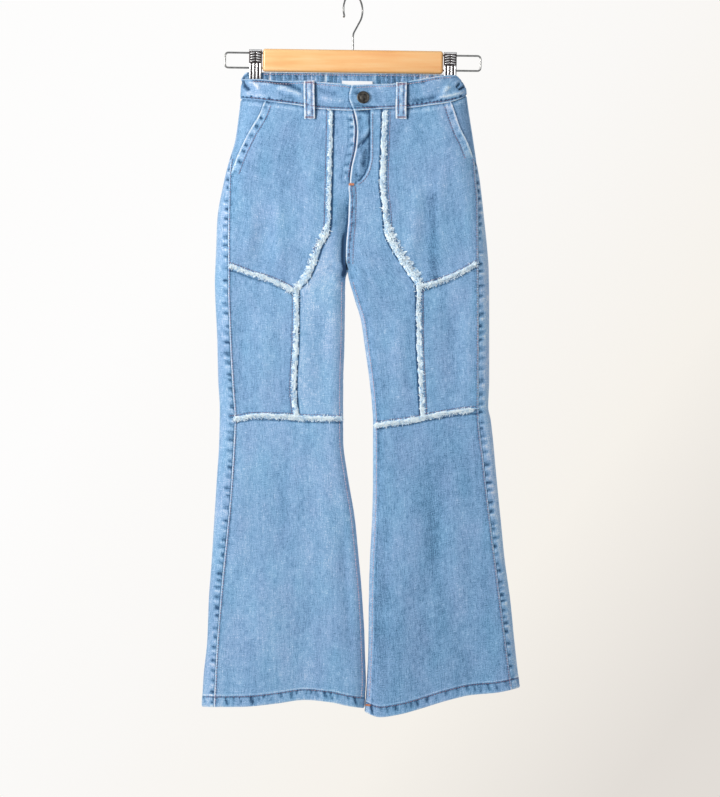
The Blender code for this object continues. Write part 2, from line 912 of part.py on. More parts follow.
def make_button():
    """A shank button on the front band: a turned profile facing out of the cloth."""
    x, z = BUTTON_AT
    dome = ((0, 3.4), (4.5, 3.3), (6.6, 2.7), (BUTTON_RADIUS, 1.7))
    profile = (*dome, (7.4, 0.9), (4.2, 0.8), (3.6, 0), (0, 0))
    shape = bmesh.new()
    points = [shape.verts.new((radius, 0, height)) for radius, height in profile]
    for first, second in zip(points, points[1:]):
        shape.edges.new((first, second))
    made = finish(shape, "button", "brass")
    screw = made.modifiers.new("turned", "SCREW")
    screw.steps = 24
    screw.render_steps = 24
    screw.use_merge_vertices = True
    screw.merge_threshold = 0.00001
    y = float(cloth_y("left", "front", np.array([float(x)]), np.array([float(z)]))[0])
    made.rotation_euler = (math.pi / 2, 0, 0)
    made.location = (x * MM, (y - LIFT) * MM, z * MM)
    made.data.shade_smooth()
    return made


def box(name, size, middle, slot, bevel=0.0):
    shape = bmesh.new()
    bmesh.ops.create_cube(shape, size=1)
    bmesh.ops.scale(shape, vec=size, verts=shape.verts)
    bmesh.ops.translate(shape, vec=middle, verts=shape.verts)
    made = finish(shape, name, slot)
    if bevel:
        soft = made.modifiers.new("edges", "BEVEL")
        soft.width = bevel * MM
        soft.segments = 2
    made.parent = hanger
    return made


def bored(made, holes):
    """Cuts round holes: each is a middle point, an axis turn and a length."""
    for number, (middle, turn, length) in enumerate(holes):
        shape = bmesh.new()
        bmesh.ops.create_cone(
            shape, cap_ends=True, segments=16, radius1=BORE_RADIUS, radius2=BORE_RADIUS, depth=length
        )
        bmesh.ops.rotate(shape, cent=(0, 0, 0), matrix=turn, verts=shape.verts)
        bmesh.ops.translate(shape, vec=middle, verts=shape.verts)
        cutter = finish(shape, f"{made.name}_bore_{number}", "chrome")
        parts.objects.unlink(cutter)
        cutters.objects.link(cutter)
        cutter.hide_render = True
        cutter.display_type = "WIRE"
        cutter.parent = hanger
        cut = made.modifiers.new(f"bore_{number}", "BOOLEAN")
        cut.object = cutter
        cut.operation = "DIFFERENCE"
        cut.solver = "EXACT"


def wire(name, points, radius, parent):
    """A round wire along points that have their corners rounded already."""
    path = bpy.data.curves.new(name, "CURVE")
    path.dimensions = "3D"
    path.bevel_depth = radius * MM
    path.bevel_resolution = 2
    path.use_fill_caps = True
    line = path.splines.new("POLY")
    line.points.add(len(points) - 1)
    for spot, point in zip(line.points, points):
        spot.co = (point[0] * MM, point[1] * MM, point[2] * MM, 1)
    path.materials.append(material("chrome"))
    made = bpy.data.objects.new(name, path)
    parts.objects.link(made)
    made.parent = parent
    return made


def arc(middle, radius, start, end, count):
    """Points (h, z) along an arc, angles in degrees from +h."""
    angles = np.radians(np.linspace(start, end, count))
    return [(middle[0] + radius * math.cos(a), middle[1] + radius * math.sin(a)) for a in angles]


def make_hook():
    """Stem up from the bar, a lean out to the side, and a round hook over the origin."""
    middle_z = -(HOOK_RADIUS - HOOK_WIRE)
    drop = middle_z - HOOK_KINK_Z
    lean = math.degrees(math.acos(HOOK_RADIUS / drop))
    start = -90 + lean
    kink = HOOK_KINK_REACH
    loop = arc((0, middle_z), HOOK_RADIUS, start, HOOK_END_ANGLE, HOOK_STEPS)
    out = Vector((loop[0][0], loop[0][1] - HOOK_KINK_Z)).normalized()
    stem = [(0, BAR_TOP - HOOK_SOCKET), (0, HOOK_KINK_Z - kink)]
    bend = [(out.x * kink / 4, HOOK_KINK_Z + (out.y - 1) * kink / 4)]
    slant = [(out.x * kink, HOOK_KINK_Z + out.y * kink)]
    tip = [(loop[-1][0] - 1.5, loop[-1][1] - 1.5)]
    flat = stem + bend + slant + loop + tip
    turn = (math.cos(HOOK_SWIVEL), math.sin(HOOK_SWIVEL))
    wire("hanger_hook", [(h * turn[0], h * turn[1], z) for h, z in flat], HOOK_WIRE, None)


def make_rail(side):
    """A loop of wire out of the bar's end, which the clip slides along."""
    sign = SIDES[side]
    top, low = RAIL_LEVELS
    inside = BAR_HALF - 10
    corner = RAIL_REACH - RAIL_RADIUS - RAIL_CORNER
    flat = [(inside, top)]
    flat += arc((corner, top - RAIL_CORNER), RAIL_CORNER, 90, 0, 5)
    flat += arc((corner, low + RAIL_CORNER), RAIL_CORNER, 0, -90, 5)
    flat += [(inside, low)]
    wire(f"rail_{side}", [(sign * x, 0, z) for x, z in flat], RAIL_RADIUS, hanger)


def make_clip(side):
    """A carrier block that slides on the rail, and two sprung jaws that meet on the back band."""
    x = SIDES[side] * CLIP_AT
    across = Matrix.Rotation(math.pi / 2, 3, "Y")
    carrier_top = CLIP_TOP - CLIP_PLATE
    carrier_low = RAIL_LEVELS[1] - CARRIER_DROP
    carrier = box(
        f"clip_carrier_{side}",
        (CLIP_WIDTH - CARRIER_NARROWER, CARRIER_DEPTH, carrier_top - carrier_low),
        (x, 0, (carrier_top + carrier_low) / 2),
        "chrome",
    )
    bored(carrier, [((x, 0, level), across, 30) for level in RAIL_LEVELS])
    for face, way in (("front", -1), ("back", 1)):
        grip = CLIP_GRIP[face]
        rows = (*CLIP_ROWS[face], (CLIP_TIP + CLIP_LIP, grip), (CLIP_TIP, grip + CLIP_LIP_FLARE))
        shape = bmesh.new()
        bmesh.ops.create_grid(shape, x_segments=1, y_segments=len(rows) - 1, size=1)
        for vert in shape.verts:
            row = rows[round((1 - (vert.co.y + 1) / 2) * (len(rows) - 1))]
            vert.co = (x + vert.co.x * CLIP_WIDTH / 2, way * row[1], row[0])
        if way > 0:
            bmesh.ops.reverse_faces(shape, faces=shape.faces)
        jaw = finish(shape, f"clip_jaw_{face}_{side}", "chrome")
        jaw.parent = hanger
        plate = jaw.modifiers.new("plate", "SOLIDIFY")
        plate.thickness = CLIP_PLATE * MM
        plate.offset = 1
        plate.use_even_offset = True


def make_hanger():
    """The wooden bar, its hook, the rails and the clips."""
    bar = box(
        "hanger_bar",
        (2 * BAR_HALF, BAR_THICK, BAR_TOP - BAR_BOTTOM),
        (0, 0, (BAR_TOP + BAR_BOTTOM) / 2),
        "wood",
        2.5,
    )
    across = Matrix.Rotation(math.pi / 2, 3, "Y")
    holes = [((sign * BAR_HALF, 0, z), across, 24) for sign in (-1, 1) for z in RAIL_LEVELS]
    holes.append(((0, 0, BAR_TOP), Matrix.Identity(3), 28))
    bored(bar, holes)
    make_hook()
    for side in SIDES:
        make_rail(side)
        make_clip(side)


for old in list(bpy.data.objects):
    bpy.data.objects.remove(old)
parts = bpy.data.collections.new("flared_jeans")
cutters = bpy.data.collections.new("cutters")
bpy.context.scene.collection.children.link(parts)
bpy.context.scene.collection.children.link(cutters)
hanger = bpy.data.objects.new("hanger_frame", None)
parts.objects.link(hanger)
hanger.rotation_euler = (0, HANGER_TILT, 0)
pivot = Vector((0, 0, BAR_TOP * MM))  # the tilt turns the bar about the foot of the hook
hanger.location = pivot - Matrix.Rotation(HANGER_TILT, 3, "Y") @ pivot

for garment_side in SIDES:
    make_front(garment_side)
    make_back(garment_side)
    make_hem(garment_side)
    make_frays(garment_side)
make_waistband()
make_belt_loops()
make_fly()
make_label()
make_button()
make_hanger()
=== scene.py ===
import math

import bpy
import numpy as np
from mathutils import Matrix, Vector
from mathutils.bvhtree import BVHTree


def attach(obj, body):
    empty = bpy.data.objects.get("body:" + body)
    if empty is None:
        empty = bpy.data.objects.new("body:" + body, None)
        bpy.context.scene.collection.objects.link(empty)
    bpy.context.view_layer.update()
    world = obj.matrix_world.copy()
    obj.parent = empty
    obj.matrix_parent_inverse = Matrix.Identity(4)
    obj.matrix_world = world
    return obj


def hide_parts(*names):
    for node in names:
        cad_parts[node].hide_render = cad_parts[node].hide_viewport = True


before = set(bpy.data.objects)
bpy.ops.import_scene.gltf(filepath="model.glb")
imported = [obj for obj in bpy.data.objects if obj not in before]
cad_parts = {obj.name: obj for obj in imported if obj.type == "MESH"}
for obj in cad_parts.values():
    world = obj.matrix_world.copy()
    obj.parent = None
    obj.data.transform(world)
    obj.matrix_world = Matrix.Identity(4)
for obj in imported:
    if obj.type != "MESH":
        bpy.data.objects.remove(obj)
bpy.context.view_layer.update()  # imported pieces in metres; the origin is the inside top of the hook
bpy.ops.object.select_all(action="DESELECT")
print("frame loaded:", len(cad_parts), "pieces")

# Flared jeans with frayed seams. Front is -Y, the wearer's left is +X. The cutting tables are in
# millimetres, and mm turns them into metres.
mm = 0.001
sides = {"right": -1, "left": 1}


def table(columns, *rows):
    return dict(zip(columns.split(), np.array(rows, float).T))


def curveOf(rows, key, value):  # a smooth line through two columns that never swings past a row
    order = np.argsort(rows[key])
    knots = rows[key][order]
    values = rows[value][order]
    step = np.diff(knots)
    slope = np.diff(values) / step
    product = slope[1:] * slope[:-1]
    turning = product <= 0
    inner = np.where(turning, 0, 2 * product / np.where(turning, 1, slope[1:] + slope[:-1]))
    tangent = np.concatenate([[slope[0]], inner, [slope[-1]]])

    def at(where):
        where = np.clip(where, knots[0], knots[-1])
        i = np.clip(np.searchsorted(knots, where, side="right") - 1, 0, len(step) - 1)
        p = (where - knots[i]) / step[i]
        ends = values[i] * (1 + 2 * p) * (1 - p) ** 2 + values[i + 1] * p * p * (3 - 2 * p)
        return ends + step[i] * p * (1 - p) * ((1 - p) * tangent[i] - p * tangent[i + 1])

    return at


def linesOf(bySide, key, value):
    return {side: curveOf(rows, key, value) for side, rows in bySide.items()}


# The cut seen from the front: outer fold and inner fold of each half.
edges = {
    "right": table(
        "z outer inner",
        (-96, -138, 0), (-112, -140, 0), (-133, -141, 0), (-158, -143.8, 0), (-183, -147.5, 0),
        (-208, -155, -0.5), (-233, -161.3, -1), (-283, -170, -3), (-317, -171.3, -5.9),
        (-345, -172.5, -6.5), (-358, -173, -9.5), (-433, -170, -10.6), (-483, -168.8, -12.1),
        (-520, -166.8, -12.3), (-558, -167.5, -12.1), (-608, -170.6, -5.6), (-658, -173.8, 2.5),
        (-708, -176.9, 7.5), (-758, -180.6, 11.9), (-808, -182.5, 14.4), (-858, -187.5, 16),
        (-905, -189.5, 12.5),
    ),
    "left": table(
        "z outer inner",
        (-96, 130, 0), (-108, 137.5, 0), (-116, 141, 0), (-133, 143, 0), (-183, 150.6, 0),
        (-208, 154.4, -0.5), (-233, 158.8, -1), (-283, 164.4, -3), (-317, 168, -5.9),
        (-345, 170, -6.5), (-383, 170.6, 2.5), (-408, 170.6, 10), (-433, 170.6, 13.8),
        (-483, 170.6, 20.6), (-517, 169.4, 24), (-533, 172.5, 25), (-608, 180, 25),
        (-658, 185, 23.8), (-708, 190, 21.3), (-758, 196.9, 20), (-808, 201.9, 19.4),
        (-858, 207.5, 17.4), (-905, 213, 14.6),
    ),
}
# Depth: middle of the flattened tube, front and back crowns, and how far in from the folds they start.
sections = table(
    "z mid front back roundFront roundBack roundInner",
    (-96, -3, 17, 4, 60, 8, 20),
    (-115, -3, 19, 4, 60, 8, 20),
    (-150, -4, 20, 8, 50, 16, 20),
    (-200, -4, 20, 13, 34, 24, 20),
    (-260, -5, 19, 17, 26, 26, 20),
    (-330, -5, 17, 16, 22, 24, 20),
    (-400, -5, 14, 13, 20, 20, 18),
    (-530, -5, 11, 11, 16, 16, 16),
    (-700, -5, 12, 12, 16, 16, 16),
    (-905, -5, 15, 15, 20, 20, 18),
)
crotch = {"z": -343.5, "rise": 70}
# The largest folds, the same as on the solids.
mainFolds = {
    "front": table(
        "xTop zTop xLow zLow width rise",
        (-108, -285, -118, -352, 14, -2.4), (97, -240, 92, -360, 15, -2.6),
        (-60, -690, -60, -900, 26, -3.2), (-110, -640, -118, -900, 24, 2.2),
        (60, -620, 56, -900, 24, 2.6), (140, -660, 152, -900, 24, -2.8),
        (-10, -255, -12, -342, 7, -4.5),
    ),
    "back": table(
        "xTop zTop xLow zLow width rise",
        (-70, -150, -62, -300, 22, -2.2), (74, -150, 66, -290, 22, -2.4),
        (-96, -600, -104, -900, 28, -3.0), (112, -640, 122, -900, 28, -2.6),
    ),
}
outseams = {
    "right": table(
        "z x",
        (-96, -136), (-133, -138.6), (-183, -145.2), (-215, -153.6), (-240, -155), (-305, -156),
        (-365, -156), (-425, -154.3), (-495, -150.4), (-532, -147.9), (-572, -149.8),
        (-623, -153), (-758, -165.9), (-833, -171.3), (-905, -174.5),
    ),
    "left": table(
        "z x",
        (-96, 128), (-116, 138.6), (-133, 140.6), (-183, 148.2), (-205, 151.4), (-232, 153.4),
        (-258, 156), (-334, 156.5), (-430, 156.9), (-520, 156.9), (-537, 157.5), (-578, 162.5),
        (-632, 168.4), (-758, 184.1), (-852, 196.3), (-905, 203),
    ),
}
centreFronts = table(  # edge of the fly, then the rise seam
    "z x",
    (-112, -1.3), (-130, -5), (-148, 1.3), (-170, 5), (-189, 3.8), (-220, -2.5), (-236, -4),
    (-255, -2.3), (-281, -2.9), (-317, -5.9), (-345, -6.5),
)
hipSeams = {
    "right": table(
        "z x",
        (-130, -27.5), (-195, -29.1), (-258, -30.4), (-282, -31), (-300, -33.4), (-314, -41),
        (-335, -48.4), (-358, -59.1), (-370, -71.3),
    ),
    "left": table(
        "z x",
        (-130, 40.6), (-198, 38.6), (-235, 37.4), (-274, 41.1), (-297, 43), (-319, 52.5),
        (-340, 66), (-365, 83),
    ),
}
thighSeams = {
    "right": table("z x", (-370, -71.3), (-433, -71.8), (-493, -74.5), (-530, -71.3)),
    "left": table("z x", (-365, 83), (-430, 83.3), (-468, 85), (-530, 88)),
}
pocketEdges = {
    "right": table("z x", (-130, -109), (-150, -116.5), (-173, -130), (-202, -143.8), (-224, -152)),
    "left": table("z x", (-130, 121), (-150, 127.5), (-168, 133.8), (-187, 143), (-204, 149.4)),
}
hipLines = {
    "right": table(
        "x z",
        (-175, -337), (-155, -339.3), (-125, -350), (-107, -355), (-88, -363), (-71.3, -370),
        (-40, -370), (0, -370),
    ),
    "left": table(
        "x z",
        (0, -370), (45, -368), (83, -365), (117, -355.5), (137, -346), (155, -336.5), (175, -333),
    ),
}
kneeLines = {
    "right": table(
        "x z", (-175, -533), (-147, -530.5), (-121, -526.8), (-85, -527.6), (-64, -529.3), (0, -531)
    ),
    "left": table(
        "x z", (20, -540), (50, -535.5), (72, -532.5), (99, -526.8), (155, -519.3), (175, -519)
    ),
}
hemLines = {
    "right": table(
        "x z",
        (-190, -891.8), (-140, -891.4), (-97, -887.5), (-60, -883), (-30, -885.5), (-6, -890.5),
        (17, -894),
    ),
    "left": table(
        "x z",
        (13, -898), (34, -904.3), (57, -901), (87, -893), (117, -883.8), (148, -876.8),
        (178, -874), (212, -867),
    ),
}
frontWaists = {
    "top": table(
        "x z",
        (-141, -106.1), (-115, -106.8), (-90, -109.3), (-61, -108.6), (-39, -110.5), (-14, -112.4),
        (-1, -114.3), (27, -113), (50, -112.4), (66, -109.8), (90, -106), (111, -102.1),
        (128, -101), (136, -108), (141, -117),
    ),
    "bottom": table(
        "x z",
        (-141, -130.9), (-102, -135.5), (-64, -140.5), (-44, -144.3), (0, -146.5), (35, -144.3),
        (70, -143), (99, -139.3), (117, -136.8), (136, -130.5), (143, -125),
    ),
}
backWaists = {
    "top": table(
        "x z", (-141, -106.1), (-133, -97.2), (0, -98.5), (121, -100.2), (130, -102), (141, -117)
    ),
    "bottom": table("x z", (-141, -130.9), (-100, -134), (0, -136), (100, -134.5), (143, -125)),
}

outerFold = linesOf(edges, "z", "outer")
innerFold = linesOf(edges, "z", "inner")
section = {name: curveOf(sections, "z", name) for name in sections if name != "z"}
outseam = linesOf(outseams, "z", "x")
centreFront = curveOf(centreFronts, "z", "x")
hipSeam = linesOf(hipSeams, "z", "x")
thighSeam = linesOf(thighSeams, "z", "x")
pocketEdge = linesOf(pocketEdges, "z", "x")
hipLine = linesOf(hipLines, "x", "z")
kneeLine = linesOf(kneeLines, "x", "z")
hemLine = linesOf(hemLines, "x", "z")
frontWaist = linesOf(frontWaists, "x", "z")
backWaist = linesOf(backWaists, "x", "z")


def rounded(distance, radius):
    reach = np.clip(distance / radius, 0, 1)
    return np.sqrt(1 - (1 - reach) ** 2)


def smooth(value):
    value = np.clip(value, 0, 1)
    return value * value * (3 - 2 * value)


def ridge(distance, width):
    return np.exp(-((distance / width) ** 2))


def foldRise(face, x, z):
    rise = np.zeros_like(x)
    for xTop, zTop, xLow, zLow, width, height in zip(*mainFolds[face].values()):
        along = (zTop - z) / (zTop - zLow)
        middle = xTop + (xLow - xTop) * along
        fade = np.clip(1 - np.abs(2 * along - 1) ** 4, 0, 1)
        if zLow <= -900:
            fade = np.clip(along * 2.5, 0, 1) ** 2
        rise += height * fade * ridge(x - middle, width)
    return rise


def clothY(side, face, x, z):  # outer surface of the cloth on the front or the back
    sign = sides[side]
    joined = rounded(z - crotch["z"], crotch["rise"])
    inner = rounded(sign * (x - innerFold[side](z)), section["roundInner"](z))
    full = rounded(sign * (outerFold[side](z) - x), section[f"round{face.capitalize()}"](z))
    full = full * (joined + (1 - joined) * inner)
    reach = section[face](z) * full + foldRise(face, x, z) * full
    return section["mid"](z) + (reach if face == "back" else -reach)


def softNoise(a, b, seed):  # an uneven field from -1 to 1, one cell for each unit
    i = np.floor(a)
    j = np.floor(b)
    p = smooth(a - i)
    q = smooth(b - j)

    def corner(i, j):
        value = np.sin(i * 127.1 + j * 311.7 + seed * 74.7) * 43758.5453
        return 2 * (value - np.floor(value)) - 1

    low = corner(i, j) * (1 - p) + corner(i + 1, j) * p
    high = corner(i, j + 1) * (1 - p) + corner(i + 1, j + 1) * p
    return low * (1 - q) + high * q


def puckers(along, away, reach, step, width, seed, slant=0.0):
    # uneven little gathers beside a line of stitches, from 0 between them to 1 in the deepest
    random = np.random.default_rng(seed)
    found = np.zeros_like(along)
    near = (away > 0) & (away < reach * 1.15)
    if not near.any():
        return found
    here = along[near]
    off = away[near]
    deepest = np.zeros_like(here)
    at = np.floor(here.min() / 100) * 100
    while at < here.max() + step:
        at += step * random.uniform(0.6, 1.45)
        length = reach * random.uniform(0.5, 1.1)
        thick = width * random.uniform(0.7, 1.3)
        depth = random.uniform(0.4, 1.0)
        shape = ridge(here - at - slant * off, thick) * smooth((length - off) / (0.5 * length)) * smooth(off)
        deepest = np.maximum(deepest, depth * shape)
    found[near] = deepest
    return found


def creases(rows, x, z):  # soft ridges and troughs along short bowed lines
    rise = np.zeros_like(x)
    for x1, z1, x2, z2, width, height, bow in zip(*rows.values()):
        run = math.hypot(x2 - x1, z2 - z1)
        alongX = (x2 - x1) / run
        alongZ = (z2 - z1) / run
        along = ((x - x1) * alongX + (z - z1) * alongZ) / run
        off = (x - x1) * alongZ - (z - z1) * alongX - bow * 4 * along * (1 - along)
        fade = smooth(2.2 * (1 - np.abs(2 * along - 1)))
        rise += height * fade * ridge(off, width)
    return rise


# Creases and soft waves that the solids leave out: ends, width, height and bow, all in millimetres.
softCreases = {
    "front": table(
        "x1 z1 x2 z2 width height bow",
        (-92, -250, -88, -350, 9, 1.2, 4), (-128, -250, -134, -335, 8, 0.9, -3),
        (-60, -180, -52, -330, 12, 0.7, -4), (112, -210, 108, -345, 8, 1.3, 3),
        (80, -230, 72, -330, 9, 1.0, -3), (-140, -380, -138, -520, 10, -0.9, 3),
        (-105, -390, -112, -520, 12, 0.9, 4), (-45, -390, -42, -520, 12, -0.8, -3),
        (120, -380, 124, -510, 12, -1.0, -3), (145, -380, 146, -500, 9, 0.8, 2),
        (60, -390, 58, -520, 10, 0.9, 3), (-85, -560, -88, -720, 14, -0.9, 5),
        (-40, -570, -34, -760, 12, 0.8, -4), (-135, -560, -142, -740, 12, 0.9, 4),
        (90, -570, 98, -760, 14, -1.1, -5), (125, -580, 136, -780, 12, 0.9, 4),
        (-12, -640, 0, -850, 7, -1.2, 2), (40, -640, 36, -860, 8, -1.1, 2),
        (-30, -336, -10, -350, 3.5, -0.8, 2), (4, -318, 26, -344, 3.5, 0.8, -2),
        (0, -330, 20, -356, 3.0, -0.9, -2), (-26, -350, -10, -372, 4, 0.7, 2),
        (-96, -536, -70, -548, 4, 0.5, 1), (110, -532, 140, -540, 4, 0.5, 1),
    ),
    "back": table(
        "x1 z1 x2 z2 width height bow",
        (-60, -345, -14, -322, 6, -1.6, 4), (-70, -372, -18, -342, 6, 1.2, 5),
        (14, -320, 62, -342, 6, -1.5, -4), (18, -344, 72, -370, 6, 1.2, -5),
        (-120, -330, -60, -352, 8, -1.0, 3), (66, -352, 124, -332, 8, -1.0, -3),
        (-110, -160, -100, -290, 12, 1.1, 4), (108, -160, 100, -290, 12, 1.1, -4),
        (-30, -160, -26, -270, 10, 0.9, 3), (30, -160, 28, -270, 10, 0.9, -3),
        (-120, -390, -124, -520, 12, -1.0, 4), (-60, -390, -56, -520, 12, 0.9, -4),
        (118, -390, 122, -520, 12, -1.0, -4), (66, -390, 62, -520, 12, 0.9, 4),
        (-140, -505, -96, -520, 5, -1.2, 3), (-130, -545, -84, -552, 5, 1.0, -3),
        (92, -520, 140, -505, 5, -1.2, -3), (84, -552, 132, -545, 5, 1.0, 3),
        (-60, -600, -48, -860, 13, 1.1, 5), (60, -600, 58, -860, 13, 1.1, -5),
        (-140, -620, -150, -860, 12, 1.0, -4), (150, -620, 164, -860, 12, 1.0, 4),
    ),
}


def handle(face, x, z, seed):  # what every leg panel has: soft waves and a slightly uneven hand
    rise = 1.5 * creases(softCreases[face], x, z)
    rise += 0.22 * softNoise(x / 16, z / 38, seed) + 0.07 * softNoise(x / 5, z / 8, seed + 1)
    # lighter on the crease ridges as wear, darker in their troughs as painted shade
    wearAndShade = 0.16 * creases(softCreases[face], x, z)
    wearAndShade += 0.10 * softNoise(x / 11, z / 60, seed + 2) + 0.05 * softNoise(x / 4, z / 14, seed + 3)
    return rise, wearAndShade


def hemDetail(side, x, z, rise, wearAndShade, seed):  # turned up twice and stitched, so it ropes a little
    hem = {"depth": 13.5, "stand": 0.6, "step": 9.5}
    above = z - hemLine[side](x)
    inHem = smooth((hem["depth"] - above) / 1.5)
    rise = rise + hem["stand"] * inHem - 0.9 * smooth(1 - above / 1.3)
    roping = puckers(x, hem["depth"] - 0.6 - above, hem["depth"] * 0.95, hem["step"], 1.5, seed, 0.25)
    rise = rise - 0.75 * roping * inHem + 0.4 * ridge(above - hem["depth"] - 1.6, 1.2)
    # painted shade in the roping's hollows and just under the hem's top edge, light lines along the folded
    # edges
    wearAndShade = wearAndShade + inHem * (0.12 - 1.9 * roping) + 0.8 * ridge(above - hem["depth"] - 1.0, 0.9)
    wearAndShade = wearAndShade - 1.3 * ridge(above - hem["depth"] + 0.7, 1.0) + 0.7 * smooth(1 - above / 2.6)
    return rise, wearAndShade


def packed(p, ends):  # points closer together at both ends of 0 to 1
    return p - ends * np.sin(2 * np.pi * p) / (2 * np.pi)


def selectOnly(*pieces):  # the first one is the active one
    bpy.ops.object.select_all(action="DESELECT")
    for piece in pieces:
        piece.select_set(True)
    bpy.context.view_layer.objects.active = pieces[0]


def linked(name, data):
    piece = bpy.data.objects.new(name, data)
    bpy.context.scene.collection.objects.link(piece)
    return piece


def applied(piece, kind, settings):  # adds a modifier and applies it
    modifier = piece.modifiers.new(kind, kind)
    for key, value in settings.items():
        setattr(modifier, key, value)
    selectOnly(piece)
    bpy.ops.object.modifier_apply(modifier=modifier.name)


def edited(piece, *steps):  # runs mesh operators, with their settings, on the whole piece
    selectOnly(piece)
    bpy.ops.object.mode_set(mode="EDIT")
    bpy.ops.mesh.select_all(action="SELECT")
    for step, settings in steps:
        step(**settings)
    bpy.ops.object.mode_set(mode="OBJECT")


weld = (bpy.ops.mesh.remove_doubles, {"threshold": 0.00001})
facesOut = (bpy.ops.mesh.normals_make_consistent, {"inside": False})


def paint(mesh, name, values):  # a number at each point of the mesh
    values = np.asarray(values, np.float32).ravel()
    mesh.attributes.new(name, "FLOAT", "POINT").data.foreach_set("value", values)


def readMesh(mesh):  # its points, and the point at each corner of its faces
    points = np.empty(len(mesh.vertices) * 3)
    mesh.vertices.foreach_get("co", points)
    corners = np.empty(len(mesh.loops), np.int32)
    mesh.loops.foreach_get("vertex_index", corners)
    return points.reshape(-1, 3), corners


def runLengths(point, axis):  # how far along the grid each point is
    start = np.take(point, [0], axis)
    return np.cumsum(np.linalg.norm(np.diff(point, axis=axis, prepend=start), axis=2), axis=axis)


def coloured(piece, material):
    piece.data.materials.clear()
    piece.data.materials.append(material)


def declare(piece, slot, *nodes):
    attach(piece, "root")
    if nodes:
        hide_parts(*nodes)


clothPieces = []  # every denim sheet, for laying stitches and frayed threads on them
cutSizes = {}


def makeSheet(
    name, node, cells, place, detail, wall=1.3, flip=False, ring=False, ends=(0.0, 0.0), slot="denim",
    material=None,
):
    # a grid placed by place(s, t) in millimetres, raised by detail along its normal, given its wall
    columns, rows = cells
    s, t = np.meshgrid(
        packed(np.linspace(0, 1, columns + 1), ends[0]), packed(np.linspace(0, 1, rows + 1), ends[1])
    )
    point = np.stack(place(s, t), axis=-1)
    girth = runLengths(point, 1)
    drop = runLengths(point, 0)
    around = np.concatenate([point[:, -2:-1], point, point[:, 1:2]], axis=1) if ring else point
    across = np.gradient(around, axis=1)
    if ring:
        across = across[:, 1:-1]
    normal = np.cross(across, np.gradient(point, axis=0))
    normal /= np.maximum(np.linalg.norm(normal, axis=2, keepdims=True), 1e-9)
    if flip:
        normal = -normal
    area = girth[:, -1].mean() * drop[-1].mean()
    cutSizes[name] = (girth[:, -1].max() * mm, drop[-1].max() * mm, area * mm * mm)
    rise, wearAndShade = detail(point[..., 0], point[..., 2], girth, s, t)
    point = point + normal * rise[..., None]

    bpy.ops.object.select_all(action="DESELECT")
    bpy.ops.mesh.primitive_grid_add(x_subdivisions=columns, y_subdivisions=rows, size=2)
    piece = bpy.context.object
    mesh = piece.data
    piece.name = mesh.name = name
    flat, corner = readMesh(mesh)
    column = np.rint((flat[:, 0] + 1) / 2 * columns).astype(int)
    row = np.rint((flat[:, 1] + 1) / 2 * rows).astype(int)
    mesh.vertices.foreach_set("co", (point[row, column] * mm).ravel())
    # real wear, and painted shade and light, at each point, read by the denim
    paint(mesh, "wearAndShade", wearAndShade[row, column])
    middle = columns // 2
    shift = (sum(map(ord, name)) % 97) * 0.031  # each piece is cut from its own place on the cloth
    u = (girth - girth[:, middle : middle + 1]) * mm + shift
    v = drop * mm + shift * 2
    flatMap = np.stack([u[row, column][corner], v[row, column][corner]], axis=1)
    mesh.uv_layers.active.data.foreach_set("uv", flatMap.ravel().astype(np.float32))
    if ring:
        edited(piece, weld)
    if flip:
        mesh.flip_normals()
    applied(piece, "SOLIDIFY", {"thickness": wall * mm, "offset": -1})
    bpy.ops.object.shade_smooth_by_angle(angle=math.radians(60))
    coloured(piece, material or denim)
    declare(piece, slot, node)
    if name != "label":
        clothPieces.append(piece)
    return piece


def between(left, right, low, high):  # a patch between two seams that run down and two that run across
    def flatPlace(s, t):
        x = 0 * s
        z = low(x) + t * (high(x) - low(x))
        for _ in range(30):
            start = left(z)
            x = 0.5 * x + 0.5 * (start + s * (right(z) - start))
            bottom = low(x)
            z = 0.5 * z + 0.5 * (bottom + t * (high(x) - bottom))
        return x, z

    return flatPlace


def frontPlace(side, outer, inner, low, high):
    left, right = (outer, inner) if side == "right" else (inner, outer)
    flatPlace = between(left, right, low, high)

    def place(s, t):
        x, z = flatPlace(s, t)
        return x, clothY(side, "front", x, z), z

    return place


# Materials
def feed(node, inputs):  # links what is a socket and sets what is a value
    for key, value in inputs.items():
        if isinstance(value, bpy.types.NodeSocket):
            node.id_data.links.new(value, node.inputs[key])
        else:
            node.inputs[key].default_value = value
    return node


def addNode(tree, kind, settings, inputs):
    node = tree.nodes.new(kind)
    for key, value in settings.items():
        setattr(node, key, value)
    return feed(node, inputs)


def newMaterial(name, space="Object"):
    made = bpy.data.materials.new(name)
    made.use_nodes = True
    tree = made.node_tree
    coords = addNode(tree, "ShaderNodeTexCoord", {}, {}).outputs[space]
    return made, tree, tree.nodes["Principled BSDF"], coords


def addMath(tree, operation, first, second, third=0.0):
    inputs = {0: first, 1: second, 2: third}
    return addNode(tree, "ShaderNodeMath", {"operation": operation}, inputs).outputs[0]


def addSway(tree, field, amount, base):  # the base, moved up and down by a field whose middle is 0.5
    return addMath(tree, "MULTIPLY_ADD", addMath(tree, "SUBTRACT", field, 0.5), amount, base)


def addNoise(tree, coords, scale, detail=2.0, roughness=0.5):
    mapped = addNode(tree, "ShaderNodeMapping", {}, {"Vector": coords, "Scale": scale}).outputs[0]
    inputs = {"Vector": mapped, "Scale": 1.0, "Detail": detail, "Roughness": roughness}
    return addNode(tree, "ShaderNodeTexNoise", {}, inputs).outputs[0]


def addWave(tree, coords, direction, scale, distortion):
    inputs = {"Vector": coords, "Scale": scale, "Distortion": distortion}
    return addNode(tree, "ShaderNodeTexWave", {"bands_direction": direction}, inputs).outputs["Fac"]


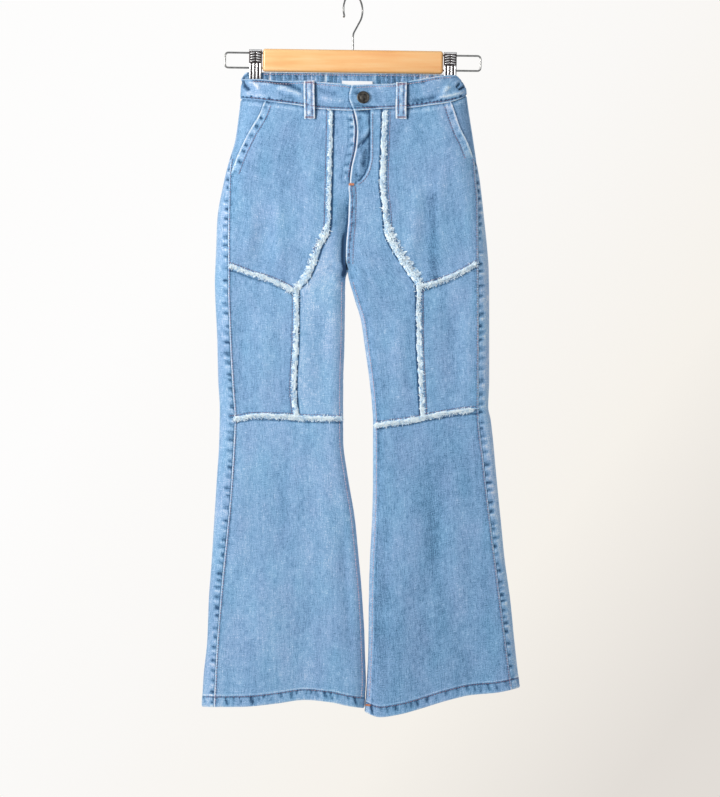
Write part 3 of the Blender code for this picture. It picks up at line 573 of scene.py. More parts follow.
def addRamp(tree, value, stops):
    node = addNode(tree, "ShaderNodeValToRGB", {}, {"Fac": value})
    ramp = node.color_ramp
    while len(ramp.elements) < len(stops):
        ramp.elements.new(0.5)
    for element, (position, colour) in zip(ramp.elements, stops):
        element.position = position
        element.color = (*colour, 1)
    return node.outputs[0]


def addMix(tree, factor, first, second, blend="MIX"):
    settings = {"data_type": "RGBA", "blend_type": blend}
    return addNode(tree, "ShaderNodeMix", settings, {0: factor, 6: first, 7: second}).outputs[2]


def addAttribute(tree, name):
    return addNode(tree, "ShaderNodeAttribute", {"attribute_name": name}, {}).outputs["Fac"]


def finishShader(shader, colour, height, bump, inputs):  # bump is its strength and its depth in metres
    relief = {"Height": height, "Strength": bump[0], "Distance": bump[1]}
    normal = addNode(shader.id_data, "ShaderNodeBump", {}, relief).outputs[0]
    feed(shader, {"Base Color": colour, "Normal": normal, **inputs})


denimLook = {
    "fields": {  # cells a metre across and along the warp, how much each shifts the shade, its detail
        "slub": ((760, 120, 1), 0.62, 2.0),
        "streak": ((300, 14, 1), 0.26, 2.0),
        "weft": ((110, 700, 1), 0.34, 1.0),
        "grain": ((900, 700, 1), 0.75, 1.0),
        "mottle": ((70, 48, 1), 0.26, 3.0),
        "cloud": ((12, 7, 1), 0.22, 2.0),
    },
    "wearAndShade": 0.38,
    "shades": (
        (0.0, (0.026, 0.071, 0.152)), (0.22, (0.086, 0.189, 0.317)), (0.40, (0.155, 0.295, 0.477)),
        (0.52, (0.206, 0.361, 0.559)), (0.66, (0.279, 0.441, 0.642)), (0.82, (0.445, 0.579, 0.724)),
        (1.0, (0.686, 0.739, 0.782)),
    ),
    "castScale": (34, 15, 1),
    "casts": ((0.3, (0.93, 1.0, 1.0)), (0.7, (1.07, 0.985, 1.0))),  # greener and redder areas of the wash
    "twillAngle": 27,
    "twillScale": 300.0,
}


def makeDenim():  # washed twill: uneven warp yarns, pale weft flecks, worn ridges, painted shade in troughs
    look = denimLook
    made, tree, shader, coords = newMaterial("washedDenim", "UV")
    shade = 0.5
    fields = {}
    for key, (scale, amount, detail) in look["fields"].items():
        fields[key] = addNoise(tree, coords, scale, detail)
        shade = addSway(tree, fields[key], amount, shade)
    shade = addMath(tree, "MULTIPLY_ADD", addAttribute(tree, "wearAndShade"), look["wearAndShade"], shade)
    dyed = addRamp(tree, shade, look["shades"])
    cast = addRamp(tree, addNoise(tree, coords, look["castScale"]), look["casts"])
    slant = {"Vector": coords, "Rotation": (0, 0, math.radians(look["twillAngle"]))}
    turned = addNode(tree, "ShaderNodeMapping", {}, slant).outputs[0]
    twill = addWave(tree, turned, "X", look["twillScale"], 0.6)
    height = addMath(tree, "MULTIPLY_ADD", twill, 0.5, fields["grain"])
    height = addMath(tree, "MULTIPLY_ADD", fields["slub"], 0.8, height)
    rough = addMath(tree, "MULTIPLY_ADD", fields["grain"], 0.2, 0.78)
    soft = {"Roughness": rough, "Sheen Weight": 0.12, "Sheen Roughness": 0.5, "Specular IOR Level": 0.2}
    finishShader(shader, addMix(tree, 1.0, dyed, cast, "MULTIPLY"), height, (0.5, 0.00022), soft)
    return made


def makeThread(name, dark, light, roughness=0.85):  # colour by tint; frayed tints hold painted shade
    made, tree, shader, coords = newMaterial(name)
    fibre = addNoise(tree, coords, (1500, 1500, 1500), 1.0)
    value = addSway(tree, fibre, 0.5, addAttribute(tree, "tintAndShade"))
    soft = {"Roughness": roughness, "Sheen Weight": 0.15, "Specular IOR Level": 0.25}
    finishShader(shader, addRamp(tree, value, ((0.0, dark), (1.0, light))), fibre, (0.3, 0.0001), soft)
    return made


def makeRibbed(name, scale, distortion, dark, light, bump, inputs):  # narrow woven tape
    made, tree, shader, coords = newMaterial(name, "UV")
    ribs = addWave(tree, coords, "Y", scale, distortion)
    finishShader(shader, addRamp(tree, ribs, ((0.0, dark), (1.0, light))), ribs, bump, inputs)
    return made


denim = makeDenim()
frayed = makeThread("frayedThreads", (0.34, 0.58, 0.81), (0.90, 0.975, 1.0))
mauve = makeThread("mauveThread", (0.13, 0.10, 0.18), (0.40, 0.28, 0.36), 0.6)
rust = makeThread("rustThread", (0.40, 0.13, 0.06), (0.72, 0.30, 0.16), 0.6)
pink = makeThread("pinkThread", (0.46, 0.33, 0.40), (0.76, 0.60, 0.66), 0.6)
tape = makeRibbed(
    "wovenTape", 260.0, 0.4, (0.016, 0.034, 0.075), (0.040, 0.070, 0.130), (0.5, 0.0002), {"Roughness": 0.8}
)
satin = makeRibbed(
    "whiteSatin", 500.0, 0.3, (0.92, 0.92, 0.93), (0.97, 0.97, 0.975), (0.3, 0.0001),
    {"Roughness": 0.45, "Sheen Weight": 0.2},
)

loop = {"width": 13.4, "wall": 1.6, "base": 2.8, "rise": 2.3}
loops = {
    "FrontRight": ("front", -54.5, frontWaist["top"](-54.5), -156.8),
    "FrontLeft": ("front", 60.4, frontWaist["top"](60.4), -156.8),
    "BackRight": ("back", -78.0, -106.0, -150.0),
    "BackCenter": ("back", -2.0, -106.0, -150.0),
    "BackLeft": ("back", 78.0, -106.0, -150.0),
}


def loopShade(face, x, z):  # the shade on the cloth beside each belt loop
    shade = 0 * x
    for where, middle, _, bottom in loops.values():
        if where == face:
            left = x - middle + loop["width"] / 2
            right = x - middle - loop["width"] / 2
            shade = shade - 1.5 * ridge(right - 1.1, 1.3) * smooth((z - bottom + 2) / 3)
            shade = shade - 0.5 * ridge(left + 0.6, 0.9) * smooth((z - bottom + 1) / 3)
    return shade


# Front panels
fly = {
    "seamLap": 2.6, "lap": 7.0, "endZ": -236.0, "puff": 1.5, "stand": 2.2,
    "curveZ": -200.0, "curveDrop": 37.5, "curveX": 21.0, "curveIn": 23.0,
}
panelLook = {"under": 2.6, "lap": 1.1, "lapReach": 6.0, "lapShade": 2.3, "tuck": 1.5, "bandBottomShade": 0.45}


def tucked(x, z, rise, wearAndShade, waist):  # the top edge goes in under the waistband
    below = waist(x) - z
    gather = puckers(x, below, 5, 6.5, 1.8, 91)
    rise = rise - panelLook["tuck"] * smooth(1 - below / 3.2) - 0.35 * gather
    # painted shade under the band's bottom edge and in the gathers
    wearAndShade = wearAndShade - panelLook["bandBottomShade"] * smooth(1 - below / 3.5) - 0.4 * gather
    return rise, wearAndShade + 0.35 * ridge(below - 5, 2.2)


def lapped(distance, rise, wearAndShade, stitch=4.6):  # a raw edge that lies over its neighbour
    rise = rise + panelLook["lap"] * smooth(1 - distance / panelLook["lapReach"])
    rise = rise - 0.35 * ridge(distance - stitch, 0.9)
    # painted shade along the stitch groove
    return rise, wearAndShade - 0.55 * ridge(distance - stitch, 0.9)


def underlap(distance, rise, wearAndShade, edge=4.3, shade=1.0):  # the neighbour's edge, in the lap's shade
    rise = rise - 0.5 * smooth(1 - distance / 2.0)
    return rise, wearAndShade - panelLook["lapShade"] * shade * ridge(distance - edge, 1.2)


def sideSeam(side, x, z, rise, wearAndShade):  # the front's folded edge at the outseam stands up and is worn
    inside = sides[side] * (outseam[side](z) - x)
    gather = puckers(z, inside - 1.5, 6, 13, 2.0, 17 + sides[side])
    seen = smooth((-196 - z) / 16)
    rise = rise + (0.6 * ridge(inside - 1.2, 1.3) - 0.3 * gather) * seen
    # a worn light edge, with painted shade along the stitch line and in the puckers
    edge = 1.1 * ridge(inside - 0.4, 0.8) - 0.45 * ridge(inside - 2.8, 0.8) - 0.25 * gather
    return rise, wearAndShade + edge * seen


def inSeam(side, z, distance, rise, wearAndShade):  # beside the inner fold, with a worn light edge
    below = smooth((crotch["z"] - z) / 8)
    gather = puckers(z, distance - 1.0, 9, 11, 2.2, 33 + sides[side]) * below
    rise = rise + (0.4 * ridge(distance - 1.0, 1.1) - 0.4 * gather) * below
    strength = 0.9 if side == "left" else 0.35
    # a worn light edge, with painted shade in the stitch groove and the gathers
    wearAndShade = wearAndShade + strength * (0.8 * ridge(distance - 0.4, 0.8) - 0.3 * ridge(distance - 3.2, 0.7)) * below
    return rise, wearAndShade - 0.35 * gather * strength


inseamReach = {
    "right": table("z reach", (-905, 2.5), (-600, 2), (-400, 1.6), (-366, 1), (-344, 0.15)),
    "left": table("z reach", (-905, 5), (-600, 4), (-400, 2.6), (-366, 1), (-344, 0.15)),
}
seamIn = linesOf(inseamReach, "z", "reach")


def frontInner(side):  # fly edge, rise seam and inseam
    def at(z):
        base = np.where(z > crotch["z"], centreFront(z), innerFold[side](z))
        lap = fly["seamLap"] * smooth((-236 - z) / 8) * smooth((z - crotch["z"]) / 9)
        return base - lap + sides[side] * seamIn[side](z)

    return at


def pocketOuter(side):  # the outseam, and above the pocket's end its slanted opening
    rows = pocketEdges[side]
    endZ = rows["z"].min()
    jump = pocketEdge[side](endZ) - outseam[side](endZ)

    def at(z):
        low = outseam[side](z) + jump * np.clip(1 + (z - endZ) / 9, 0, 1)
        return np.where(z > endZ, pocketEdge[side](z), low)

    return at


pocket = {"band": 9.5, "stand": 1.2, "under": 6.0, "floor": 12.0}


def hipDetail(side):
    sign = sides[side]
    endZ = pocketEdges[side]["z"].min()
    opening = pocketOuter(side)

    def detail(x, z, *_):
        rise, wearAndShade = handle("front", x, z, 3 + sign)
        slope = (opening(z + 1) - opening(z - 1)) / 2
        fromOpening = sign * (opening(z) - x) / np.sqrt(1 + slope**2)
        atPocket = smooth((z - endZ) / 5 + 0.5)
        rise = rise + pocket["stand"] * smooth(1 - fromOpening / 7) * atPocket
        rise = rise - 0.4 * ridge(fromOpening - pocket["band"], 0.9) * atPocket
        strength = 1.0 if side == "right" else 0.55
        gather = puckers(z, fromOpening - 1.6, pocket["band"] * 0.85, 9.6, 1.9, 7 + sign, -0.55)
        rise = rise - 0.8 * gather * atPocket * strength
        # painted shade in the pocket band's puckers and along its stitch line, a worn light opening edge
        wearAndShade = wearAndShade + atPocket * (0.75 * ridge(fromOpening - 0.6, 1.2) - 2.2 * gather * strength)
        wearAndShade = wearAndShade - 0.6 * atPocket * ridge(fromOpening - pocket["band"], 1.0)
        wearAndShade = wearAndShade + 0.32 * atPocket * smooth((pocket["band"] - fromOpening) / 2)
        if side == "left":
            # painted shade in the trough of the fold down the wearer's left hip
            wearAndShade = wearAndShade - 0.75 * ridge(x - 101, 7) * smooth((-235 - z) / 25)
        seamRise, seamWearAndShade = sideSeam(side, x, z, rise, wearAndShade)
        rise = np.where(z > endZ, rise, seamRise)
        wearAndShade = np.where(z > endZ, wearAndShade, seamWearAndShade)
        wearAndShade = wearAndShade + loopShade("front", x, z)
        rise, wearAndShade = lapped(sign * (x - hipSeam[side](z)), rise, wearAndShade)
        rise, wearAndShade = lapped(z - hipLine[side](x), rise, wearAndShade, 3.4)
        return tucked(x, z, rise, wearAndShade, frontWaist["bottom"])

    return detail


def centreOuter(side):
    meeting = hipSeams[side]["z"].min()

    def at(z):
        return np.where(z > meeting, hipSeam[side](z), thighSeam[side](z))

    return at


def flyCurve(z):  # x of the J-shaped row of stitches, down to the bartack
    turn = np.clip((fly["curveZ"] - z) / fly["curveDrop"], 0, 1)
    return fly["curveX"] - fly["curveIn"] * (1 - np.sqrt(1 - turn**2))


flyCreases = table(
    "x1 z1 x2 z2 width height bow",
    (25, -170, 3, -195, 1.6, -2.6, -1.5), (25, -163, 8, -181, 3.0, 1.6, -1),
    (12, -196, 7, -228, 3.2, 1.1, 1.5), (17, -190, 15, -222, 2.6, -1.2, 1),
    (22, -150, 14, -160, 2.5, 1.0, 0), (10, -150, 7, -176, 2.6, -1.0, 1),
    (2, -226, 14, -232, 2.2, -1.3, -1), (5, -146, 24, -151, 2.2, -1.6, -1), (9, -206, 16, -216, 2.0, -1.1, 1),
)


def centreDetail(side):
    sign = sides[side]
    outer = centreOuter(side)
    inner = frontInner(side)

    def detail(x, z, *_):
        rise, wearAndShade = handle("front", x, z, 11 + sign)
        # painted light: the wearer's right centre panel lighter low down, the left one a little darker
        wearAndShade = wearAndShade + (0.34 if side == "right" else -0.10) * smooth((-290 - z) / 60)
        toSeam = sign * (outer(z) - x)
        rise, wearAndShade = underlap(toSeam, rise, wearAndShade)
        rise, wearAndShade = lapped(z - kneeLine[side](x), rise, wearAndShade, 3.4)
        fromInner = sign * (x - inner(z))
        rise, wearAndShade = inSeam(side, z, fromInner, rise, wearAndShade)
        onFly = smooth((z - fly["endZ"]) / 10 + 0.5)
        aboveCrotch = smooth((z - crotch["z"]) / 12)
        if side == "left":
            inFlap = onFly * smooth((flyCurve(z) - x) / 2.5 + 0.5)
            rise = rise + onFly * fly["stand"] * smooth(1 - fromInner / 9)
            rise = rise + inFlap * (fly["puff"] * np.sin(np.pi * np.clip(fromInner / 20, 0, 1)) - 0.2)
            rise = rise + inFlap * creases(flyCreases, x, z)
            rise = rise + 1.6 * onFly * ridge(z + 180, 9) * smooth(1 - fromInner / 6)
            beside = flyCurve(z) - x
            onCurve = smooth((z - fly["endZ"] + 2) / 3)
            rise = rise + onCurve * (0.7 * ridge(beside + 2.4, 1.6) - 0.9 * ridge(beside - 0.6, 1.2))
            # painted shade over the flap and in its creases' troughs, and along the J-shaped stitching; a
            # worn light fly edge
            wearAndShade = wearAndShade - inFlap * (0.30 - 0.42 * creases(flyCreases, x, z))
            wearAndShade = wearAndShade - onCurve * 1.5 * ridge(beside - 0.4, 1.0) + onCurve * 0.6 * ridge(beside + 2.6, 1.2)
            wearAndShade = wearAndShade + onFly * 2.0 * ridge(fromInner - 0.7, 1.2)
            # painted shade in the rise seam's gathers, a worn light seam edge
            onSeam = aboveCrotch * (1 - onFly)
            gather = puckers(z, fromInner - 2.0, 6.5, 7.0, 1.8, 51) * onSeam
            rise = rise + onSeam * 0.9 * smooth((8.6 - fromInner) / 1.2) - 0.6 * gather
            wearAndShade = wearAndShade + onSeam * (1.6 * ridge(fromInner - 0.7, 1.1) - 0.2 * smooth((8.6 - fromInner) / 1.2))
            wearAndShade = wearAndShade - 1.8 * gather
        else:
            gather = puckers(z, fromInner - 1.0, 6.0, 6.0, 1.8, 52) * onFly
            fromFly = -(x - centreFront(z))
            below = onFly * smooth((-150 - z) / 4)
            dabs = puckers(z, fromFly - 3.2, 8.0, 10.2, 2.1, 53) * below
            blobs = puckers(z + 5.0, fromFly - 3.4, 7.0, 10.2, 2.3, 53) * below
            # painted shade in the puckers beside the fly, painted highlights on the bulges between them
            rise = rise - 0.8 * dabs + 0.6 * blobs
            wearAndShade = wearAndShade - 1.7 * dabs + 0.9 * blobs - 0.5 * below * ridge(fromFly - 10.5, 0.9)
            # painted shade along and under the fly's edge where it lifts, with a light line beside it
            hole = smooth((-150 - z) / 6) * smooth((z + 189) / 6)
            wearAndShade = wearAndShade - 1.6 * onFly * ridge(fromFly - 0.6, 1.4)
            wearAndShade = wearAndShade + 1.6 * hole * ridge(fromFly - 3.2, 0.8) - 1.2 * hole * ridge(fromFly - 1.4, 0.9)
            # painted shade in the recess beside the rise seam, darkest above the crotch
            recess = smooth((z + 362) / 14) * smooth((-244 - z) / 40)
            deep = smooth((z + 356) / 10) * smooth((-296 - z) / 12)
            rise = rise - recess * 2.4 * ridge(fromInner - 2.0, 3.2)
            wearAndShade = wearAndShade - recess * 1.2 * ridge(fromInner - 1.6, 2.2)
            wearAndShade = wearAndShade - deep * 3.4 * ridge(fromInner - 1.8, 2.8)
            wearAndShade = wearAndShade - recess * 0.5 * smooth(1 - fromInner / 12)
        return tucked(x, z, rise, wearAndShade, frontWaist["bottom"])

    return detail


def thighDetail(side):
    sign = sides[side]

    def detail(x, z, *_):
        rise, wearAndShade = handle("front", x, z, 21 + sign)
        rise, wearAndShade = sideSeam(side, x, z, rise, wearAndShade)
        rise, wearAndShade = lapped(sign * (x - thighSeam[side](z)), rise, wearAndShade)
        rise, wearAndShade = lapped(z - kneeLine[side](x), rise, wearAndShade, 3.4)
        return underlap(hipLine[side](x) - z, rise, wearAndShade, 6.4, 0.45)

    return detail


def shinDetail(side):
    sign = sides[side]
    inner = frontInner(side)

    def detail(x, z, *_):
        rise, wearAndShade = handle("front", x, z, 31 + sign)
        # painted shade: the wearer's left shin darker, the right a little lighter
        wearAndShade = wearAndShade - (0.16 if side == "left" else -0.06)
        rise, wearAndShade = sideSeam(side, x, z, rise, wearAndShade)
        rise, wearAndShade = inSeam(side, z, sign * (x - inner(z)), rise, wearAndShade)
        rise, wearAndShade = underlap(kneeLine[side](x) - z, rise, wearAndShade, 5.8, 0.5)
        return hemDetail(side, x, z, rise, wearAndShade, 61 + sign)

    return detail


def facingDetail(side):
    sign = sides[side]
    opening = pocketOuter(side)

    def detail(x, z, *_):
        rise, wearAndShade = handle("front", x, z, 41 + sign)
        inside = sign * (x - opening(z))
        rise = rise - 0.5 * smooth(1 - (inside + 1) / 3)
        # painted shade just inside the pocket opening
        wearAndShade = wearAndShade - 0.75 * ridge(inside, 1.4)
        rise, wearAndShade = sideSeam(side, x, z, rise, wearAndShade)
        return tucked(x, z, rise, wearAndShade, frontWaist["bottom"])

    return detail


def shifted(line, by):
    return lambda where: line(where) + by


for side, sign in sides.items():
    waist = shifted(frontWaist["bottom"], 2.0)
    knee = kneeLine[side]
    hip = hipLine[side]
    out = outseam[side]
    under = panelLook["under"]
    flyUnder = fly["lap"] if side == "right" else 0.0
    facingLow = pocketEdges[side]["z"].min() - pocket["floor"]

    def underFly(z, side=side, flyUnder=flyUnder):
        return frontInner(side)(z) + flyUnder * smooth((z - fly["endZ"]) / 12 + 1)

    def pocketFloor(x, low=facingLow):
        return low + 0 * x

    panels = {  # cells, the outer, inner, low and high edges, surface, and how close points are at the ends
        "hip": (
            (84, 118), (pocketOuter(side), hipSeam[side], hip, waist), hipDetail, (0.45, 0.2)
        ),
        "centre": (
            (46, 190), (shifted(centreOuter(side), sign * under), underFly, knee, waist),
            centreDetail, (0.4, 0.0),
        ),
        "thigh": (
            (48, 84), (out, thighSeam[side], knee, shifted(hip, under)), thighDetail, (0.45, 0.2)
        ),
        "shin": (
            (88, 180), (out, frontInner(side), hemLine[side], shifted(knee, under)), shinDetail, (0.5, 0.45)
        ),
        "pocket": (
            (26, 66), (out, shifted(pocketOuter(side), -sign * pocket["under"]), pocketFloor, waist),
            facingDetail, (0.3, 0.0),
        ),
    }
    for name, (cells, bounds, detail, ends) in panels.items():
        kind = "Facing" if name == "pocket" else "Panel"
        makeSheet(
            f"{name}{kind}{side.capitalize()}", f"{name}_{kind.lower()}_{side}", cells,
            frontPlace(side, *bounds), detail(side), ends=ends,
        )
print("front panels made")

# Back panels: round the outer fold from the outseam, across the back and round to the inseam
backLook = {
    "cells": (14, 10, 30, 8, 5), "rows": 290, "bandPucker": 10.5, "stripPaintedLight": {"right": 0.12, "left": 0.45},
}
backStations = np.concatenate([[0], np.cumsum(backLook["cells"])]) / sum(backLook["cells"])


def backPlace(side):
    sign = sides[side]
    low = hemLine[side]
    high = shifted(backWaist["bottom"], 2.0)

    def place(s, t):
        q = np.interp(s, backStations, np.arange(6))
        x = 80.0 * sign + 0 * s
        z = low(x) + t * (high(x) - low(x))
        turnOut = q - 1
        turnIn = q - 4
        for _ in range(30):
            outer = outerFold[side](z)
            inner = innerFold[side](z)
            radiusBack = section["roundBack"](z)
            radiusIn = section["roundInner"](z)
            inset = np.abs(outseam[side](z) - outer)
            quarter = np.pi / 2
            wrapFront = outer - sign * inset * (1 - np.cos(np.clip(turnOut, -1, 0) * quarter))
            wrapBack = outer - sign * radiusBack * (1 - np.cos(np.clip(turnOut, 0, 1) * quarter))
            start = outer - sign * radiusBack
            end = inner + sign * radiusIn
            flat = start + (q - 2) * (end - start)
            spread = smooth((z - crotch["z"]) / 8)
            inBack = inner + sign * radiusIn * (1 - np.cos(np.clip(turnIn, -1, 0) * quarter))
            inBack = inBack + sign * spread * 0.8 * (1 + np.clip(turnIn, -1, 0))
            seam = np.arccos(1 - np.clip(seamIn[side](z) / radiusIn, 0, 1))
            inFront = inner + sign * radiusIn * (1 - np.cos(np.clip(turnIn, 0, 1) * seam))
            inFront = np.where(z > crotch["z"], inner + sign * (0.1 + 0.7 * (1 - turnIn)), inFront)
            x = np.select([q < 1, q < 2, q < 3, q <= 4], [wrapFront, wrapBack, flat, inBack], inFront)
            bottom = low(x)
            z = 0.5 * z + 0.5 * (bottom + t * (high(x) - bottom))
        onFront = (q < 1) | ((q > 4) & (z < crotch["z"]))
        y = np.where(onFront, clothY(side, "front", x, z), clothY(side, "back", x, z))
        return x, y, z

    return place


def backDetail(side):
    sign = sides[side]

    def detail(x, z, girth, s, _):
        q = np.interp(s, backStations, np.arange(6))
        onBack = smooth(q - 1) * smooth((4.6 - q) / 0.6)
        rise, wearAndShade = handle("back", x, z, 71 + sign)
        rise = rise * onBack
        wearAndShade = wearAndShade * onBack + (1 - onBack) * (0.05 * softNoise(girth / 4, z / 12, 5) + 0.12)
        gather = puckers(z, girth - 0.6, backLook["bandPucker"], 11.5, 2.2, 81 + sign, 0.12)
        bulge = puckers(z + 4.4, girth - 0.6, backLook["bandPucker"], 11.5, 2.2, 81 + sign, 0.12)
        inStrip = smooth((24 - girth) / 8) * smooth((-190 - z) / 20)
        rise = rise - (1.3 * gather - 0.6 * bulge) * inStrip - 0.6 * smooth(1 - girth / 1.2)
        # painted shade in the outseam strip's puckers and at the folded seam, painted highlights on the
        # bulges
        wearAndShade = wearAndShade - (1.9 * gather - 0.9 * bulge * (1 - gather)) * inStrip - 1.1 * smooth(1 - girth / 1.3)
        # painted light: the strip folded round to the front lighter, more on the wearer's left
        wearAndShade = wearAndShade + backLook["stripPaintedLight"][side] * smooth((girth - 3) / 5) * (1 - onBack)
        left = girth[:, -1:] - girth
        below = smooth((crotch["z"] - z) / 8)
        gatherIn = puckers(z, left - 0.8, 8, 11, 2.0, 85 + sign) * below
        rise = rise - 0.4 * gatherIn
        # painted shade in the inseam's gathers and along its folded edge
        wearAndShade = wearAndShade - 0.4 * gatherIn - 0.4 * smooth(1 - left / 1.2) * below
        above = 1 - below
        fromSeat = np.abs(x - innerFold[side](z))
        band = smooth((8 - fromSeat) / 1.4) * above * smooth(q - 2)
        seat = puckers(z, fromSeat - 1.5, 6.5, 7.5, 1.8, 88) * above * smooth(q - 2)
        if side == "left":
            # painted shade in the seat seam's puckers, a light line at its edge
            rise = rise + 0.8 * band - 0.5 * seat
            wearAndShade = wearAndShade - 0.2 * band - 0.6 * seat + 0.8 * ridge(fromSeat - 7.6, 0.9) * above * smooth(q - 2)
        rise, wearAndShade = hemDetail(side, x, z, rise, wearAndShade, 65 + sign)
        waist = backWaist["bottom"]
        front = (q < 1) * 1.0
        topShade = smooth(1 - (waist(x) - z) / 3.5)
        rise = rise - panelLook["tuck"] * topShade
        return rise, wearAndShade - 0.45 * topShade * (1 - front)

    return detail


for side in sides:
    makeSheet(
        f"backPanel{side.capitalize()}", f"back_panel_{side}", (sum(backLook["cells"]), backLook["rows"]),
        backPlace(side), backDetail(side), flip=side == "right", ends=(0.0, 0.3),
    )
print("back panels made")

# The turned-up hems, a ring inside each leg
hemRing = {"depth": 13.5, "inset": 1.8, "cells": (150, 7)}


def hemPlace(side):
    sign = sides[side]

    def surface(turn, t):
        across = (1 - np.cos(turn) * (1 + 0.12 * np.sin(turn) ** 2)) / 2
        z = -890.0 + 0 * turn
        for _ in range(20):
            outer = outerFold[side](z)
            x = outer + across * (innerFold[side](z) - outer)
            z = hemLine[side](x) + 0.4 + t * (hemRing["depth"] - 0.4)
        front = clothY(side, "front", x, z)
        back = clothY(side, "back", x, z)
        return np.stack([x, np.where(np.sin(turn) * sign < 0, front, back), z], axis=-1)

    def place(s, t):
        turn = s * 2 * np.pi * sign
        point = surface(turn, t)
        ahead = surface(turn + 0.01 * sign, t) - surface(turn - 0.01 * sign, t)
        normal = np.cross(ahead, surface(turn, t + 0.1) - point)
        normal /= np.linalg.norm(normal, axis=2, keepdims=True)
        middle = point.mean(axis=(0, 1))
        outward = np.sign(((point - middle) * normal).sum())
        point = point - normal * outward * hemRing["inset"]
        return point[..., 0], point[..., 1], point[..., 2]

    return place


def hemPlain(x, z, girth, *_):
    return 0 * x, -0.15 + 0.15 * softNoise(girth / 5, z / 4, 9)


for side in sides:
    makeSheet(
        f"hemFold{side.capitalize()}", f"hem_{side}", hemRing["cells"], hemPlace(side), hemPlain, ring=True
    )
print("hems made")

# Waistband
band = {"wall": 2.2, "height": 34.0, "corner": 5.0, "stand": 0.4, "elasticRows": (10.5, 17.0, 23.5)}
bandCreases = table(
    "x1 z1 x2 z2 width height bow",
    (-106, -112, -58, -124, 3.2, -1.4, -3), (-100, -117, -60, -130, 3.5, 1.1, -3),
    (-135, -108.5, -68, -115.5, 1.5, -1.9, -1), (-128, -110, -74, -118, 2.2, 0.9, -1),
    (-139, -106, -127, -121, 2.2, -2.2, 3), (-134, -108, -116, -121, 2.6, 1.5, -3),
    (-138, -122, -104, -128, 3.5, 0.8, 2), (-96, -121, -66, -133, 3.0, -0.8, 2),
    (131, -120, 142, -113, 1.5, -2.2, 1), (129, -118, 134, -110.5, 1.4, -2.0, 0),
    (135.5, -104, 138, -111, 1.3, -1.8, 0), (83, -110.5, 113, -105.5, 1.4, -1.4, -1),
    (100, -130, 142, -121, 2.4, 1.4, 2),
    (70, -134, 112, -126, 2.6, -1.3, 2), (110, -128, 140, -103, 3.0, 1.3, -3),
    (118, -118, 138, -104, 2.2, -1.3, -2), (26, -118, 54, -112, 2.6, 0.8, 1),
    (64, -114, 96, -111, 2.6, -0.8, -1), (84, -106, 116, -106, 2.4, 0.8, 1),
    (-46, -118, -16, -124, 3.0, -0.7, 2), (-44, -128, -8, -134, 3.2, 0.8, 2),
    (1, -122, 16, -137, 2.2, -1.2, -2), (-2, -137, 34, -143, 2.0, -1.1, 1),
    (20, -140, 48, -140, 2.4, 0.6, 0),
)


def bandPlace(side):
    sign = sides[side]
    stations = {"right": (0, 0.42, 0.9, 1.0), "left": (0, 0.44, 0.9, 1.0)}[side]

    def place(s, t):
        q = np.interp(s, stations, (0, 1, 2, 3))
        z = -120.0 + 0 * s
        for _ in range(40):
            begin = centreFront(z) - (8.0 if side == "right" else 0.0) * sign
            outer = outerFold[side](z)
            radius = section["roundFront"](z)
            flat = begin + q * (outer - sign * radius - begin)
            turn = (2 - q) * np.pi / 2
            onFront = outer - sign * radius * (1 - np.cos(turn))
            backRadius = section["roundBack"](z)
            reach = np.arccos(np.clip(1 - band["corner"] / backRadius, -1, 1))
            onBack = outer - sign * backRadius * (1 - np.cos(np.clip(q - 2, 0, 1) * reach))
            x = np.select([q < 1, q <= 2], [flat, onFront], onBack)
            behind = q > 2
            low = np.where(behind, backWaist["bottom"](x), frontWaist["bottom"](x)) + 0.3
            high = np.where(behind, backWaist["top"](x), frontWaist["top"](x))
            z = 0.5 * z + 0.5 * (low + t * (high - low))
        y = np.where(behind, clothY(side, "back", x, z), clothY(side, "front", x, z))
        return x, y, z

    return place


def bandEdge(up, down, rise, wearAndShade):  # rolled at its top and bottom edges, with a stitch groove in each
    rise = rise - 0.9 * smooth(1 - up / 1.6) - 0.7 * smooth(1 - down / 1.3)
    rise = rise + 0.35 * ridge(up - 1.6, 1.0) - 0.35 * ridge(up - 3.4, 0.8) - 0.35 * ridge(down - 2.6, 0.8)
    # worn light edges, painted shade in the stitch grooves
    wearAndShade = wearAndShade + 0.9 * ridge(up - 0.6, 0.9) - 0.45 * ridge(up - 3.4, 0.8)
    wearAndShade = wearAndShade + 1.5 * smooth(1 - down / 1.5) - 0.85 * ridge(down - 2.9, 1.0)
    return rise, wearAndShade


